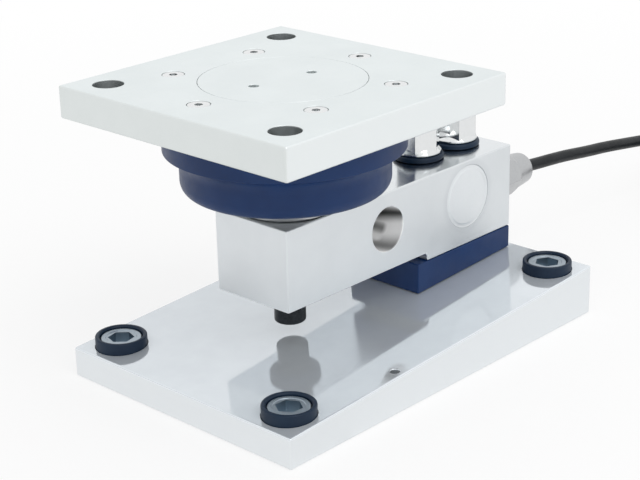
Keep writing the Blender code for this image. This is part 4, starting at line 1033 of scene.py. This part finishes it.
# Boot. Dark blue moulded shell screwed up against the plate: flange, coved step, drum, and
# a lip that rolls in towards the beam.
FLANGE_R = 0.0512
FLANGE_BOTTOM = 0.1019
DRUM_R = 0.0445
DRUM_BOTTOM = 0.0889
DRUM_INNER_R = 0.0405
bend = np.linspace(0.12, math.pi / 2, 9)
cove = zip(FLANGE_R - (FLANGE_R - DRUM_R) * np.sin(bend),
           FLANGE_BOTTOM - 0.0076 * (1 - np.cos(bend)))
lip = zip(DRUM_R - 0.0045 * (1 - np.cos(bend)), DRUM_BOTTOM - 0.0052 * np.sin(bend))
profile = [(DRUM_INNER_R, PLATE_BOTTOM - PLAY), (FLANGE_R, PLATE_BOTTOM - PLAY, 0.0008),
           (FLANGE_R, FLANGE_BOTTOM, 0.0006), *cove, (DRUM_R, DRUM_BOTTOM), *lip,
           (0.0365, 0.0837, 0.0006), (0.0365, 0.0857, 0.0006), (DRUM_INNER_R, 0.0897, 0.001)]
shell = lathe("boot_shell", profile, BLUE, at(LOAD_X), 128, 40)
for x, y in screw_places:
    bore(shell, 0.0028, 0.1048, 0.13, 0, at(x, y), 24)
placed(flat_faces_flat(shell), "platform", "blue_plastic", "boot")

# Floor. A pale matt sheet. The rays that show it as a background see it near white, and
# whiter away from the object, so that only a soft shadow stays round the base.


def background_seen(tree):
    """One for the rays that show the background, straight or by way of metal or glass."""
    ray = tree.nodes.new("ShaderNodeLightPath").outputs
    mirrored = math_node(tree, "MAXIMUM", ray["Is Glossy Ray"], ray["Is Transmission Ray"])
    return math_node(tree, "MAXIMUM", ray["Is Camera Ray"], mirrored)


FLOOR_HALF = 20
FLOOR_LEVEL = -0.0002
floor_mesh = bpy.data.meshes.new("floor")
corners = np.column_stack([FLOOR_HALF * square, np.full(4, FLOOR_LEVEL)])
floor_mesh.from_pydata(corners.tolist(), [], [(0, 1, 2, 3)])
floor = bpy.data.objects.new("floor", floor_mesh)
scene.collection.objects.link(floor)
floor_finish = bpy.data.materials.new("floor")
floor_finish.use_nodes = True
tree = floor_finish.node_tree
shader = tree.nodes["Principled BSDF"]
shader.inputs["Base Color"].default_value = (0.95, 0.95, 0.95, 1)
shader.inputs["Roughness"].default_value = 0.9
shader.inputs["Specular IOR Level"].default_value = 0.0
white = tree.nodes.new("ShaderNodeEmission")
blend = tree.nodes.new("ShaderNodeMixShader")
place = object_axes(tree)
away = length_of(tree, place["X"], place["Y"])
whiteness = ranged(tree, away, 0.7, 1.0, 0.12, 0.70)
tree.links.new(math_node(tree, "MULTIPLY", background_seen(tree), whiteness), blend.inputs["Fac"])
tree.links.new(shader.outputs["BSDF"], blend.inputs[1])
tree.links.new(white.outputs["Emission"], blend.inputs[2])
tree.links.new(blend.outputs["Shader"], tree.nodes["Material Output"].inputs["Surface"])
floor_mesh.materials.append(floor_finish)

# Studio. An even white sky, a little stronger from the front and above, and one large
# softbox that gives the plates and the boot their soft highlights.
world = bpy.data.worlds.new("studio")
scene.world = world
world.use_nodes = True
tree = world.node_tree
background = tree.nodes["Background"]
where = tree.nodes.new("ShaderNodeTexCoord")
toward = tree.nodes.new("ShaderNodeVectorMath")
toward.operation = "DOT_PRODUCT"
toward.inputs[1].default_value = Vector((0.2, -0.65, 0.72)).normalized()
tree.links.new(where.outputs["Generated"], toward.inputs[0])
glow = ranged(tree, toward.outputs["Value"], 0.55, 0.95, -0.7, 0.9)
strength = mixed(tree, background_seen(tree), glow, 1.0, "FLOAT")
tree.links.new(strength, background.inputs["Strength"])
background.inputs["Color"].default_value = (1, 1, 1, 1)
softbox = bpy.data.objects.new("key", bpy.data.lights.new("key", "AREA"))
softbox.data.size = 1.4
softbox.data.energy = 12
scene.collection.objects.link(softbox)
softbox.location = (-0.3, -1.5, 1.9)
aim = Vector((0, 0, 0.06)) - softbox.location
softbox.rotation_euler = aim.to_track_quat("-Z", "Y").to_euler()
scene.view_settings.view_transform = "Standard"
